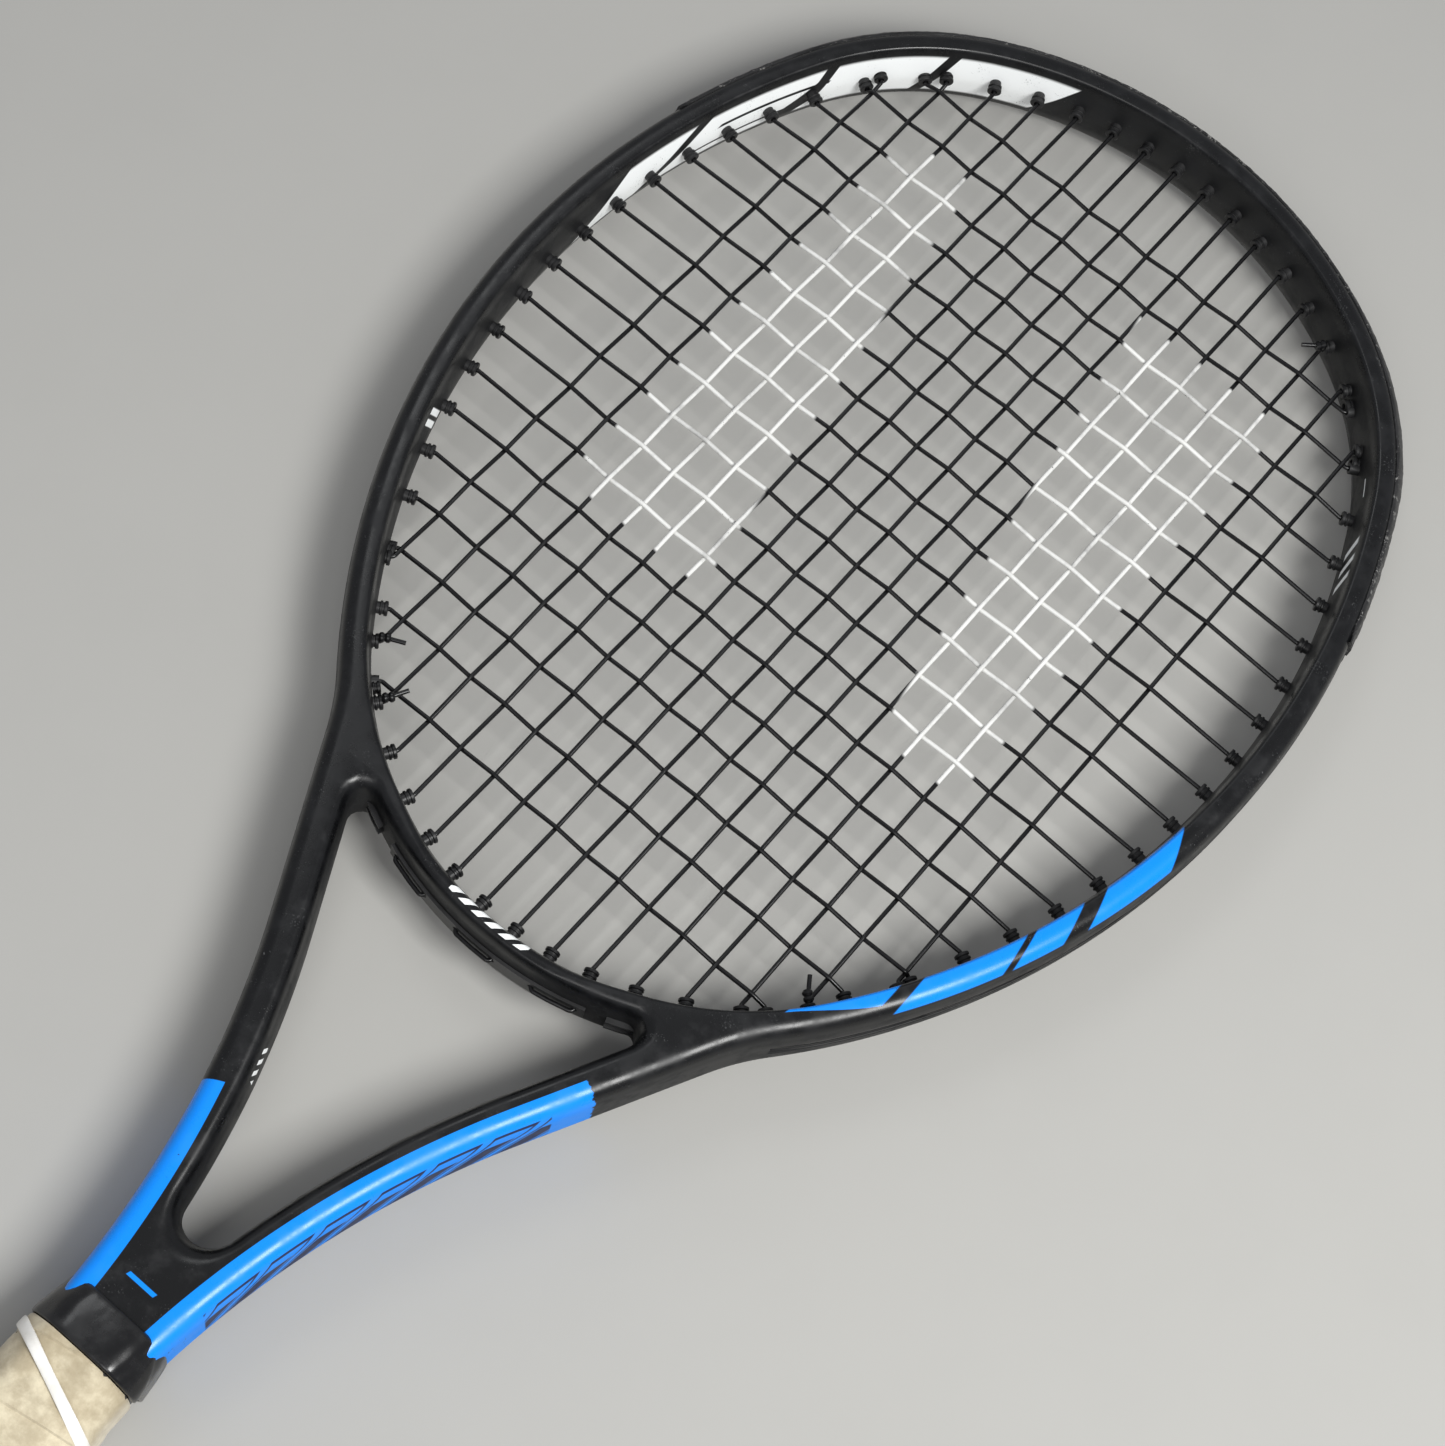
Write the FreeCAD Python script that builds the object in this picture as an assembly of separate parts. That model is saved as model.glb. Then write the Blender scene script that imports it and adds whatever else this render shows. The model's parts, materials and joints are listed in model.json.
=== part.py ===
import FreeCAD, Part
import math
import os

# Tennis racket lying flat: X across the head, Y along the handle towards the tip, Z up.
# The origin is under the middle of its length, on the surface that it lies on.
# Plane angles are measured at the head's axis: 0 at the tip, 90 at the widest part, 180 at the throat.

# Overall and head outline (centreline of the hoop)
OVERALL_LENGTH = 685.8
TIP_RADIUS = 136.0
TIP_ANGLE = 30.7
SHOULDER_RADIUS = 97.0
SHOULDER_ANGLE = 34.9
SIDE_RADIUS = 230.0
SIDE_ANGLE = 61.0

# Hoop section, measured from the centreline and from the string plane
INNER_WALL = 3.6
OUTER_WALL = 5.6
BRIDGE_OUTER = 3.9
HALF_BEAM = 12.0
INNER_FLAT = 8.5
OUTER_FLAT = 6.5
INNER_RIDGE = 2.4
OUTER_RIDGE = 4.4
CAVITY_INNER = 1.9
CAVITY_OUTER = 1.3
CAVITY_HALF_HEIGHT = 9.4
CAVITY_SHORT_ANGLE = 4.0

# Shafts, throat and handle core
SHAFT_LEAVE_ANGLE = 130.0
CROOK_RADIUS = 80.0
SHAFT_TILT = 27.0
SHAFT_STRAIGHT = 55.0
SHAFT_WIDTH = 11.8
HANDLE_NECK_HALF = 14.4
CORNER_RADIUS = 4.0
CROTCH_RADIUS = 8.2
BRIDGE_HALF_SPAN = 34.0
BRIDGE_BLOCK_PAST = 5.0
CORE_HALF_WIDTH = 10.6
CORE_HALF_HEIGHT = 8.8
LEG_CAVITY_INSET = 4.9
LEG_CAVITY_WIDTH = 4.4
LEG_CAVITY_HALF_HEIGHT = 7.5

# Strings: pitches run from the middle outwards and from the tip towards the throat
STRING_DIAMETER = 1.3
CROSSING_GAP = 0.05
WEAVE_RADIUS = 5.0
MAIN_PITCHES = (11.3, 11.3, 11.9, 12.0, 12.3, 12.9, 14.9)
MAIN_MIDDLE_GAP = 11.3
CROSS_FROM_TIP = 36.8
CROSS_PITCHES = (15.1, 15.1) + 13 * (14.25,) + (15.3, 15.6, 17.7)
LANE_GAP = 0.1
LOOP_RADIUS = 1.3
LOOP_GAP = 0.18
KNOT_LENGTH = 3.4
KNOT_RADIUS = 1.5
KNOT_WAIST = 1.1
KNOT_GAP = 0.05
TAIL_SPREAD = 0.5
TAIL_LENGTH = 6.0

# Grommets, strips and bumper
GROOVE_FLOOR = 2.9
GROOVE_HALF = 2.8
CHANNEL_OVERLAP = 1.0
CUT_PAST = 3.0
STRIP_BASE = 0.9
STRIP_GAP = 0.1
LANE_SIDE_GAP = 0.2
BUMPER_ANGLE = 77.0
JOINT_GAP = 0.8
BUMPER_PROUD = 1.2
BUMPER_HALF = 6.4
BUMPER_BEVEL = 1.0
STRIP_END_ANGLE = 158.5
THROAT_STRIP_BASE = 1.0
THROAT_STRIP_HALF = 3.4
HOLE_GAP = 0.1
DRILL_PAST = 0.5
SLEEVE_WALL = 0.8
STRING_PLAY = 0.3
SLEEVE_OUT = 3.4
SLEEVE_SIDE_LIMIT = 2.0
SLEEVE_TO_CROSSING = 2.0
BEND_OUT = 0.8

# Handle: each octagon is half width, half height and distance of its slanted flats
PALLET = (14.0, 12.6, 14.7)
BASE_GRIP_THICKNESS = 1.7
OVERGRIP_THICKNESS = 0.9
COLLAR_TOP_FROM_TIP = 480.4
COLLAR_LENGTH = 13.6
COLLAR_WALL = 1.1
COLLAR_TRAVEL = 3.0
TAPE_THICKNESS = 0.4
TAPE_LENGTH = 5.5
WRAP_GAP = 0.05
WRAP_TAPER = 4.0
FIT_GAP = 0.3
CAP_LIP = (20.4, 18.4, 21.0)
CAP_LIP_LENGTH = 5.0
CAP_ROOT = (17.6, 15.8, 18.4)
CAP_WALL = 1.3
CAP_LENGTH = 30.0
CAP_FLOOR = 2.5
CAP_GAP = 0.1
DOOR_SIZE = (16.0, 10.0)
DOOR_GAP = 0.2
STAPLE_CROWN = 9.0
STAPLE_WIRE = 0.8
STAPLE_LEG = 3.4
STAPLE_FROM_BUTT = 21.0
BAND_WIDTH = 3.2
BAND_THICKNESS = 1.0
BAND_TILT = 21.0
BAND_FROM_COLLAR = 9.8

# Worked-out places
HALF_LENGTH = OVERALL_LENGTH / 2
BUTT_Y = -HALF_LENGTH
LIFT = CAP_LIP[1]
BEVEL_HEIGHT = HALF_BEAM - INNER_FLAT
STRING_RADIUS = STRING_DIAMETER / 2
WEAVE_HEIGHT = STRING_RADIUS + CROSSING_GAP
LANE_OFFSET = STRING_RADIUS + LANE_GAP
LANE_HALF = LANE_OFFSET + STRING_RADIUS + LANE_SIDE_GAP
SLEEVE_BORE = STRING_RADIUS + STRING_PLAY
SLEEVE_RADIUS = SLEEVE_BORE + SLEEVE_WALL
HOLE_RADIUS = SLEEVE_RADIUS + HOLE_GAP
LANE_IN_GROOVE = GROOVE_FLOOR + STRIP_GAP + STRIP_BASE + LOOP_GAP + STRING_RADIUS
LANE_AT_BRIDGE = BRIDGE_OUTER + THROAT_STRIP_BASE + LOOP_GAP + STRING_RADIUS
COLLAR_TOP = HALF_LENGTH - COLLAR_TOP_FROM_TIP
COLLAR_BOTTOM = COLLAR_TOP - COLLAR_LENGTH


def vec(x, y, z=0.0):
    return FreeCAD.Vector(x, y, z)


def normal_at(angle):
    """Unit vector that points outwards from the hoop at a plane angle in degrees."""
    return vec(math.sin(math.radians(angle)), math.cos(math.radians(angle)))


# Hoop centreline: four tangent arcs a side, the last one sized to close at the throat.
STEPS = (TIP_ANGLE, SHOULDER_ANGLE, SIDE_ANGLE, 180 - TIP_ANGLE - SHOULDER_ANGLE - SIDE_ANGLE)
LIMITS = [sum(STEPS[:k]) for k in range(5)]
REACH = sum(
    radius * (math.sin(math.radians(LIMITS[k + 1])) - math.sin(math.radians(LIMITS[k])))
    for k, radius in enumerate((TIP_RADIUS, SHOULDER_RADIUS, SIDE_RADIUS))
)
THROAT_RADIUS = REACH / math.sin(math.radians(LIMITS[3]))
RADII = (TIP_RADIUS, SHOULDER_RADIUS, SIDE_RADIUS, THROAT_RADIUS)
HOOP_TIP = HALF_LENGTH - OUTER_WALL - BUMPER_PROUD
CENTRES = [vec(0, HOOP_TIP - TIP_RADIUS)]
for number in range(1, 4):
    CENTRES.append(CENTRES[-1] + normal_at(LIMITS[number]) * (RADII[number - 1] - RADII[number]))


def hoop_point(angle, out):
    """Point at a plane angle of -180 to 180 degrees, out mm outside the hoop's centreline."""
    size = abs(angle)
    k = max(k for k in range(4) if LIMITS[k] <= size + 1e-9)
    point = CENTRES[k] + normal_at(size) * (RADII[k] + out)
    return vec(math.copysign(point.x, angle) if point.x > 1e-9 else 0.0, point.y)


def arc_edge(centre, radius, first, last):
    """Arc about a centre between two plane angles."""
    ends = [centre + normal_at(a) * radius for a in (first, (first + last) / 2, last)]
    return Part.Arc(*ends).toShape()


def hoop_edges(out, first, last):
    """Edges along the hoop between two plane angles, out mm outside its centreline."""
    marks = sorted([-m for m in LIMITS[1:4]] + LIMITS[1:4])
    stops = [first] + [m for m in marks if min(first, last) < m < max(first, last)] + [last]
    if first > last:
        stops = [first] + sorted(stops[1:-1], reverse=True) + [last]
    edges = []
    for start, end in zip(stops, stops[1:]):
        places = [hoop_point(a, out) for a in (start, (start + end) / 2, end)]
        edges.append(Part.Arc(*places).toShape())
    return edges


def closed_wire(edges):
    """Wire through edges in order, with straight pieces wherever two of them don't meet."""
    joined = []
    for k, edge in enumerate(edges):
        joined.append(edge)
        end = edge.valueAt(edge.LastParameter)
        following = edges[(k + 1) % len(edges)]
        start = following.valueAt(following.FirstParameter)
        if end.distanceToPoint(start) > 1e-6:
            joined.append(Part.makeLine(end, start))
    return Part.Wire(joined)


def below(y):
    """Cutter for everything on the handle's side of a place."""
    return Part.makeBox(OVERALL_LENGTH, OVERALL_LENGTH, OVERALL_LENGTH,
                        vec(-HALF_LENGTH, y - OVERALL_LENGTH, -HALF_LENGTH))


def mirrored(edges):
    """The same edges on the other side of the racket's middle, in reverse order."""
    result = []
    for edge in reversed(edges):
        span = (edge.LastParameter, (edge.FirstParameter + edge.LastParameter) / 2, edge.FirstParameter)
        spots = [edge.valueAt(t) for t in span]
        result.append(Part.Arc(*[vec(-p.x, p.y, p.z) for p in spots]).toShape())
    return result


def prism(wire, low, high):
    """Closed plane wire extruded from one height to another."""
    face = Part.Face(wire)
    face.translate(vec(0, 0, low))
    return face.extrude(vec(0, 0, high - low))


def frustum(low_wire, low, high_wire, high):
    """Solid with straight sides between two like wires at two heights."""
    wires = [low_wire.copy(), high_wire.copy()]
    wires[0].translate(vec(0, 0, low))
    wires[1].translate(vec(0, 0, high))
    return Part.makeLoft(wires, True, True)


def both_sides(shape):
    """The shape and its mirror image below the string plane."""
    return [shape, shape.mirror(vec(0, 0, 0), vec(0, 0, 1))]


def hoop_strip(inner, outer, first, last, low, high):
    """Band that follows the hoop between two angles, offsets and heights."""
    wire = closed_wire(hoop_edges(inner, first, last) + hoop_edges(outer, last, first))
    return prism(wire, low, high)


# Shaft outline: a crook off the side arc, a straight shaft, and an arc into the handle's neck.
TILT_COS = math.cos(math.radians(SHAFT_TILT))
TILT_SIN = math.sin(math.radians(SHAFT_TILT))
LEAVE = CENTRES[2] + normal_at(SHAFT_LEAVE_ANGLE) * (SIDE_RADIUS + OUTER_WALL)
CROOK_CENTRE = LEAVE + normal_at(SHAFT_LEAVE_ANGLE) * CROOK_RADIUS
SHAFT_TOP = CROOK_CENTRE - normal_at(90 + SHAFT_TILT) * CROOK_RADIUS
SHAFT_FOOT = SHAFT_TOP - vec(TILT_SIN, TILT_COS) * SHAFT_STRAIGHT
NECK_RADIUS = (SHAFT_FOOT.x - HANDLE_NECK_HALF) / (1 - TILT_COS)
NECK_CENTRE = SHAFT_FOOT + normal_at(90 + SHAFT_TILT) * NECK_RADIUS
MOULDING_END = min(COLLAR_BOTTOM, NECK_CENTRE.y) - CORNER_RADIUS


def neck_half(y):
    """Half of the moulding's width at a place on the neck."""
    along = max(0.0, y - NECK_CENTRE.y)
    return NECK_CENTRE.x - math.sqrt(NECK_RADIUS ** 2 - along ** 2)


def outer_outline(grow):
    """Outside of the whole moulding, grow mm larger, from the neck round the tip and back."""
    side = [
        arc_edge(NECK_CENTRE, grow - NECK_RADIUS, 90, 90 + SHAFT_TILT),
        arc_edge(CROOK_CENTRE, grow - CROOK_RADIUS, 90 + SHAFT_TILT, SHAFT_LEAVE_ANGLE),
        arc_edge(CENTRES[2], SIDE_RADIUS + OUTER_WALL + grow, SHAFT_LEAVE_ANGLE, LIMITS[2]),
        arc_edge(CENTRES[1], SHOULDER_RADIUS + OUTER_WALL + grow, LIMITS[2], LIMITS[1]),
        arc_edge(CENTRES[0], TIP_RADIUS + OUTER_WALL + grow, LIMITS[1], 0),
    ]
    half = HANDLE_NECK_HALF + grow
    foot = Part.makeLine(vec(-half, MOULDING_END), vec(half, MOULDING_END))
    return closed_wire([foot] + side + mirrored(side))


def throat_outline(grow):
    """Opening between the bridge and the shafts, grow mm larger."""
    flat_normal = vec(-TILT_COS, TILT_SIN)
    along = vec(TILT_SIN, TILT_COS)
    bridge_radius = THROAT_RADIUS + BRIDGE_OUTER
    foot = SHAFT_FOOT + flat_normal * (SHAFT_WIDTH + CORNER_RADIUS)
    gap = foot - CENTRES[3]
    half_b = gap.dot(along)
    constant = gap.dot(gap) - (bridge_radius + CORNER_RADIUS) ** 2
    corner = foot + along * (-half_b - math.sqrt(half_b ** 2 - constant))
    bridge_angle = math.degrees(math.atan2(corner.x, corner.y - CENTRES[3].y))
    inner_neck = NECK_RADIUS + SHAFT_WIDTH
    crotch_y = NECK_CENTRE.y + math.sqrt((inner_neck + CROTCH_RADIUS) ** 2 - NECK_CENTRE.x ** 2)
    crotch = vec(0, crotch_y)
    crotch_angle = math.degrees(math.atan2(NECK_CENTRE.x, NECK_CENTRE.y - crotch_y))
    side = [
        arc_edge(CENTRES[3], bridge_radius - grow, 180, bridge_angle),
        arc_edge(corner, CORNER_RADIUS + grow, bridge_angle - 180, 90 + SHAFT_TILT),
        arc_edge(NECK_CENTRE, grow - inner_neck, 90 + SHAFT_TILT, crotch_angle),
        arc_edge(crotch, CROTCH_RADIUS + grow, crotch_angle, 180),
    ]
    return closed_wire(side + mirrored(side))


def hoop_outline(grow):
    """Inside of the head, grow mm larger."""
    return Part.Wire(hoop_edges(grow - INNER_WALL, -180, 180))


def through_cut(outline):
    """Cutter for an opening whose upper and lower edges are bevelled."""
    over = 1.0
    spread = INNER_RIDGE * (BEVEL_HEIGHT + over) / BEVEL_HEIGHT
    rim = frustum(outline(0), INNER_FLAT, outline(spread), HALF_BEAM + over)
    return [prism(outline(0), -INNER_FLAT, INNER_FLAT)] + both_sides(rim)


def octagon(size, y):
    """Eight-sided wire across the handle at one place along it."""
    width, height, slant = size
    corner_z = slant * math.sqrt(2) - width
    corner_x = slant * math.sqrt(2) - height
    quarter = [(width, corner_z), (corner_x, height)]
    ring = quarter + [(-x, z) for x, z in reversed(quarter)]
    ring += [(-x, -z) for x, z in quarter] + [(x, -z) for x, z in reversed(quarter)]
    corners = [vec(x, y, z) for x, z in ring]
    return Part.makePolygon(corners + corners[:1])


def grown(size, by):
    """Octagon whose flats all lie by mm further out."""
    return tuple(value + by for value in size)


def octagon_bar(*stations):
    """Solid bar along the handle through octagons given as (y, size)."""
    return Part.makeLoft([octagon(size, y) for y, size in stations], True, True)


def octagon_sleeve(first, last, wall):
    """Tube along the handle round two octagons given as (y, size)."""
    outside = octagon_bar(*[(y, grown(size, wall)) for y, size in (first, last)])
    return outside.cut(octagon_bar(first, last))


def neck_octagon(y, gap):
    """Octagon that clears the neck at a place."""
    half = neck_half(y)
    return grown((half, HALF_BEAM, (half - OUTER_RIDGE + HALF_BEAM) / math.sqrt(2)), gap)


def rod(start, end, radius):
    """Round bar between two points."""
    along = end - start
    return Part.makeCylinder(radius, along.Length, start, along)


def main_places():
    """X of each main string, from left to right."""
    right = [MAIN_MIDDLE_GAP / 2 + sum(MAIN_PITCHES[:k]) for k in range(len(MAIN_PITCHES) + 1)]
    return [-x for x in reversed(right)] + right


def cross_places():
    """Y of each cross string, from the tip to the throat."""
    return [HOOP_TIP - CROSS_FROM_TIP - sum(CROSS_PITCHES[:k]) for k in range(len(CROSS_PITCHES) + 1)]


def wall_angle(reading, target, low, high):
    """Plane angle between two others where a coordinate of the inner wall reaches a value."""
    rising = reading(hoop_point(high, -INNER_WALL)) > reading(hoop_point(low, -INNER_WALL))
    for _ in range(50):
        middle = (low + high) / 2
        if (reading(hoop_point(middle, -INNER_WALL)) < target) == rising:
            low = middle
        else:
            high = middle
    return (low + high) / 2


class StringEnd:
    """Where one string meets the hoop: its sleeve, the bend at its mouth and its lane outside."""

    def __init__(self, angle, run, lane_z, to_crossing):
        out = normal_at(angle)
        wall = hoop_point(angle, -INNER_WALL)
        slant = math.acos(min(1.0, abs(out.dot(run))))
        limits = [SLEEVE_OUT, (to_crossing - SLEEVE_TO_CROSSING) * math.cos(slant)]
        if slant > 1e-3:
            limits.append(SLEEVE_SIDE_LIMIT / math.tan(slant))
        self.reach = min(limits)
        lift = vec(0, 0, lane_z)
        bend_depth = self.reach + BEND_OUT
        self.bend = wall - run * (bend_depth / math.cos(slant)) + lift
        self.angle = angle
        self.out = out
        self.mouth = self.bend + out * BEND_OUT
        self.at_bridge = abs(self.bend.x) < BRIDGE_HALF_SPAN and angle_size(angle) > 90
        self.lane = LANE_AT_BRIDGE if self.at_bridge else LANE_IN_GROOVE
        self.turn = self.mouth + out * (self.reach + INNER_WALL + self.lane)

    def hole(self):
        """Cutter for the drilled hole, from inside the head into the groove or out of the bridge."""
        past = (BRIDGE_OUTER if self.at_bridge else GROOVE_FLOOR) + DRILL_PAST
        return rod(self.mouth - self.out, self.mouth + self.out * (self.reach + INNER_WALL + past), HOLE_RADIUS)

    def sleeve(self):
        """Barrel from the strip's base to its mouth inside the head."""
        floor = BRIDGE_OUTER if self.at_bridge else GROOVE_FLOOR + STRIP_GAP
        length = self.reach + INNER_WALL + floor + STRIP_BASE / 2
        return rod(self.mouth, self.mouth + self.out * length, SLEEVE_RADIUS)

    def bore(self):
        """Cutter for the barrel's bore."""
        return rod(self.mouth - self.out, self.turn + self.out, SLEEVE_BORE)


def angle_size(angle):
    """Size of a plane angle from the tip, whichever way it is counted."""
    return abs((angle + 180) % 360 - 180)


def main_ends():
    """Tip end and throat end of each main string, from left to right."""
    crosses = cross_places()
    pairs = []
    for x in main_places():
        pair = []
        for low, high, run in ((0, 90, vec(0, 1)), (180, 90, vec(0, -1))):
            size = wall_angle(lambda p: p.x, abs(x), low, high)
            angle = math.copysign(size, x)
            wall = hoop_point(angle, -INNER_WALL)
            ahead = min(abs(wall.y - y) for y in crosses if (wall.y - y) * run.y > 0)
            pair.append(StringEnd(angle, run, LANE_OFFSET, ahead))
        pairs.append(pair)
    return pairs


def cross_ends():
    """Left end and right end of each cross string, from the tip to the throat."""
    mains = main_places()
    pairs = []
    for y in cross_places():
        size = wall_angle(lambda p: p.y, y, 0, 180)
        wall = hoop_point(size, -INNER_WALL)
        ahead = min(wall.x - x for x in mains if x < wall.x)
        pairs.append([StringEnd(side * size, vec(side, 0), -LANE_OFFSET, ahead) for side in (-1, 1)])
    return pairs


def string_route(pairs, others, along_x, first_end, weave):
    """Corner points of one continuous string that runs to and fro through the head.

    pairs holds both ends of each run, others the places of the strings that it weaves through,
    and weave the side of the first crossing.
    """
    route = []
    end = first_end
    for k, pair in enumerate(pairs):
        start, finish = pair[end], pair[1 - end]
        route += [(start.turn, LOOP_RADIUS), (start.bend, LOOP_RADIUS)]
        low, high = sorted([(p.bend.x if along_x else p.bend.y) for p in (start, finish)])
        crossings = []
        for j, place in enumerate(others):
            if low < place < high:
                height = WEAVE_HEIGHT * weave * (-1) ** (k + j)
                fixed = start.bend.y if along_x else start.bend.x
                spot = vec(place, fixed, height) if along_x else vec(fixed, place, height)
                crossings.append((spot, WEAVE_RADIUS))
        forwards = (finish.bend - start.bend).dot(crossings[-1][0] - crossings[0][0]) > 0
        route += crossings if forwards else crossings[::-1]
        route += [(finish.bend, LOOP_RADIUS), (finish.turn, LOOP_RADIUS)]
        end = 1 - end
        if k + 1 < len(pairs):
            route.append((loop_middle(finish, pairs[k + 1][end]), WEAVE_RADIUS))
    return route


def loop_middle(first, second):
    """Middle of the loop outside the hoop between two neighbouring string ends."""
    half = (second.angle - first.angle) / 2
    half -= math.copysign(180, half) if abs(half) > 90 else 0
    place = hoop_point((first.angle + half + 180) % 360 - 180, max(first.lane, second.lane))
    return vec(place.x, place.y, first.turn.z)


def rounded_path(route):
    """Wire of straight runs joined by tangent arcs at the route's corners."""
    points = [point for point, _ in route]
    edges = []
    start = points[0]
    for k in range(1, len(points) - 1):
        before = points[k] - points[k - 1]
        after = points[k + 1] - points[k]
        turn = before.getAngle(after)
        reach = min(route[k][1] * math.tan(turn / 2), 0.45 * before.Length, 0.45 * after.Length)
        if reach < 1e-4:
            continue
        radius = reach / math.tan(turn / 2)
        back, ahead = before.normalize() * -1, after.normalize()
        inward = (back + ahead).normalize()
        first, last = points[k] + back * reach, points[k] + ahead * reach
        middle = points[k] + inward * (radius / math.cos(turn / 2) - radius)
        edges += [Part.makeLine(start, first), Part.Arc(first, middle, last).toShape()]
        start = last
    edges.append(Part.makeLine(start, points[-1]))
    return Part.Wire(edges)


def cord(route, diameter):
    """Round cord along a route."""
    path = rounded_path(route)
    start, following = route[0][0], route[1][0]
    ring = Part.Wire(Part.makeCircle(diameter / 2, start, following - start))
    solid = path.makePipeShell([ring], True, False)
    share = solid.Volume / (math.pi * diameter ** 2 / 4 * path.Length)
    print("cord length %.0f mm, volume ratio %.4f" % (path.Length, share))
    return solid


def tie_off(end, along):
    """Knot of two turns against a sleeve's mouth, with a short tail."""
    inward = end.out * -1
    side = math.copysign(KNOT_RADIUS + STRING_DIAMETER, end.mouth.z)
    seat = end.mouth + inward * KNOT_GAP + vec(0, 0, side)
    turn = KNOT_LENGTH / 2
    profile = [(0, 0)]
    for start in (0, turn):
        profile += [(KNOT_WAIST, start), (KNOT_RADIUS, start + turn / 3), (KNOT_RADIUS, start + 2 * turn / 3)]
    profile += [(KNOT_WAIST, KNOT_LENGTH), (0, KNOT_LENGTH)]
    outline = Part.makePolygon([seat + vec(0, 0, out) + inward * ahead for out, ahead in profile + profile[:1]])
    knot = Part.Face(outline).revolve(seat, inward, 360)
    tail_start = seat + inward * turn
    tail_way = (inward + along * TAIL_SPREAD).normalize()
    tail = rod(tail_start, tail_start + tail_way * TAIL_LENGTH, STRING_RADIUS)
    return knot.fuse(tail)


def moulding():
    """Hoop, bridge, shafts and neck as one hollow body, before it is drilled."""
    slope = frustum(outer_outline(0), OUTER_FLAT, outer_outline(-OUTER_RIDGE), HALF_BEAM)
    body = prism(outer_outline(0), -OUTER_FLAT, OUTER_FLAT).fuse(both_sides(slope))
    body = body.cut(through_cut(hoop_outline) + through_cut(throat_outline) + [below(COLLAR_BOTTOM)])
    core = Part.makeBox(
        2 * CORE_HALF_WIDTH, COLLAR_BOTTOM - BUTT_Y - CAP_FLOOR - CAP_GAP, 2 * CORE_HALF_HEIGHT,
        vec(-CORE_HALF_WIDTH, BUTT_Y + CAP_FLOOR + CAP_GAP, -CORE_HALF_HEIGHT))
    return body.fuse(core).removeSplitter()


def cavities():
    """Hollow of the hoop's tube and of the two handle tubes."""
    stop = SHAFT_LEAVE_ANGLE - CAVITY_SHORT_ANGLE
    ring = hoop_strip(-CAVITY_INNER, CAVITY_OUTER, -stop, stop, -CAVITY_HALF_HEIGHT, CAVITY_HALF_HEIGHT)
    near, far = LEG_CAVITY_INSET, LEG_CAVITY_INSET + LEG_CAVITY_WIDTH
    back = vec(-TILT_COS, TILT_SIN)
    low = BUTT_Y
    edges = [
        Part.makeLine(vec(HANDLE_NECK_HALF - near, low), vec(HANDLE_NECK_HALF - near, NECK_CENTRE.y)),
        arc_edge(NECK_CENTRE, -(NECK_RADIUS + near), 90, 90 + SHAFT_TILT),
        Part.makeLine(SHAFT_FOOT + back * near, SHAFT_TOP + back * near),
        Part.makeLine(SHAFT_TOP + back * far, SHAFT_FOOT + back * far),
        arc_edge(NECK_CENTRE, -(NECK_RADIUS + far), 90 + SHAFT_TILT, 90),
        Part.makeLine(vec(HANDLE_NECK_HALF - far, NECK_CENTRE.y), vec(HANDLE_NECK_HALF - far, low)),
    ]
    leg = prism(closed_wire(edges), -LEG_CAVITY_HALF_HEIGHT, LEG_CAVITY_HALF_HEIGHT)
    return [ring, leg, leg.mirror(vec(0, 0, 0), vec(1, 0, 0))]


def string_channels():
    """Groove round the outside of the head, closed over by the shafts beside the throat."""
    open_part = hoop_strip(
        GROOVE_FLOOR, OUTER_WALL + CUT_PAST, -SHAFT_LEAVE_ANGLE, SHAFT_LEAVE_ANGLE, -GROOVE_HALF, GROOVE_HALF)
    channels = [open_part]
    for side in (-1, 1):
        channels.append(hoop_strip(
            GROOVE_FLOOR, OUTER_WALL, side * (SHAFT_LEAVE_ANGLE - CHANNEL_OVERLAP), side * STRIP_END_ANGLE,
            -GROOVE_HALF, GROOVE_HALF))
    return channels


def bridge_block():
    """Block round the middle of the throat bridge."""
    angle = 180 - math.degrees(math.asin(BRIDGE_HALF_SPAN / THROAT_RADIUS))
    far = THROAT_RADIUS + BRIDGE_OUTER + BRIDGE_BLOCK_PAST
    corners = [CENTRES[3] + normal_at(s * angle) * far for s in (-1, 1)]
    lowest = CENTRES[3] + vec(0, -far)
    outline = [CENTRES[3], corners[0], vec(corners[0].x, lowest.y), vec(corners[1].x, lowest.y), corners[1]]
    return prism(Part.makePolygon(outline + outline[:1]), -2 * HALF_BEAM, 2 * HALF_BEAM)


def with_sleeves(base, ends):
    """Strip with a bored sleeve at each string end."""
    joined = base.fuse([end.sleeve() for end in ends]) if ends else base
    return joined.cut([end.bore() for end in ends])


def strip_joint(ends):
    """Plane angle where the bumper meets the side strips, moved clear of the nearest sleeve."""
    room = math.degrees((SLEEVE_RADIUS + JOINT_GAP) / SIDE_RADIUS)
    nearest = min((angle_size(end.angle) for end in ends), key=lambda angle: abs(angle - BUMPER_ANGLE))
    return nearest + room if abs(nearest - BUMPER_ANGLE) < room else BUMPER_ANGLE


def grommet_strip(side, joint, ends):
    """Side strip: a channel in the groove with its sleeves."""
    gap = math.degrees(JOINT_GAP / SIDE_RADIUS)
    low, high = side * (joint + gap), side * (STRIP_END_ANGLE - gap)
    floor = GROOVE_FLOOR + STRIP_GAP
    half = GROOVE_HALF - STRIP_GAP
    base = hoop_strip(floor, floor + STRIP_BASE, low, high, -half, half)
    lip = hoop_strip(floor, OUTER_WALL - STRIP_GAP, low, high, LANE_HALF, half)
    return with_sleeves(base.fuse(both_sides(lip)), ends)


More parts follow.
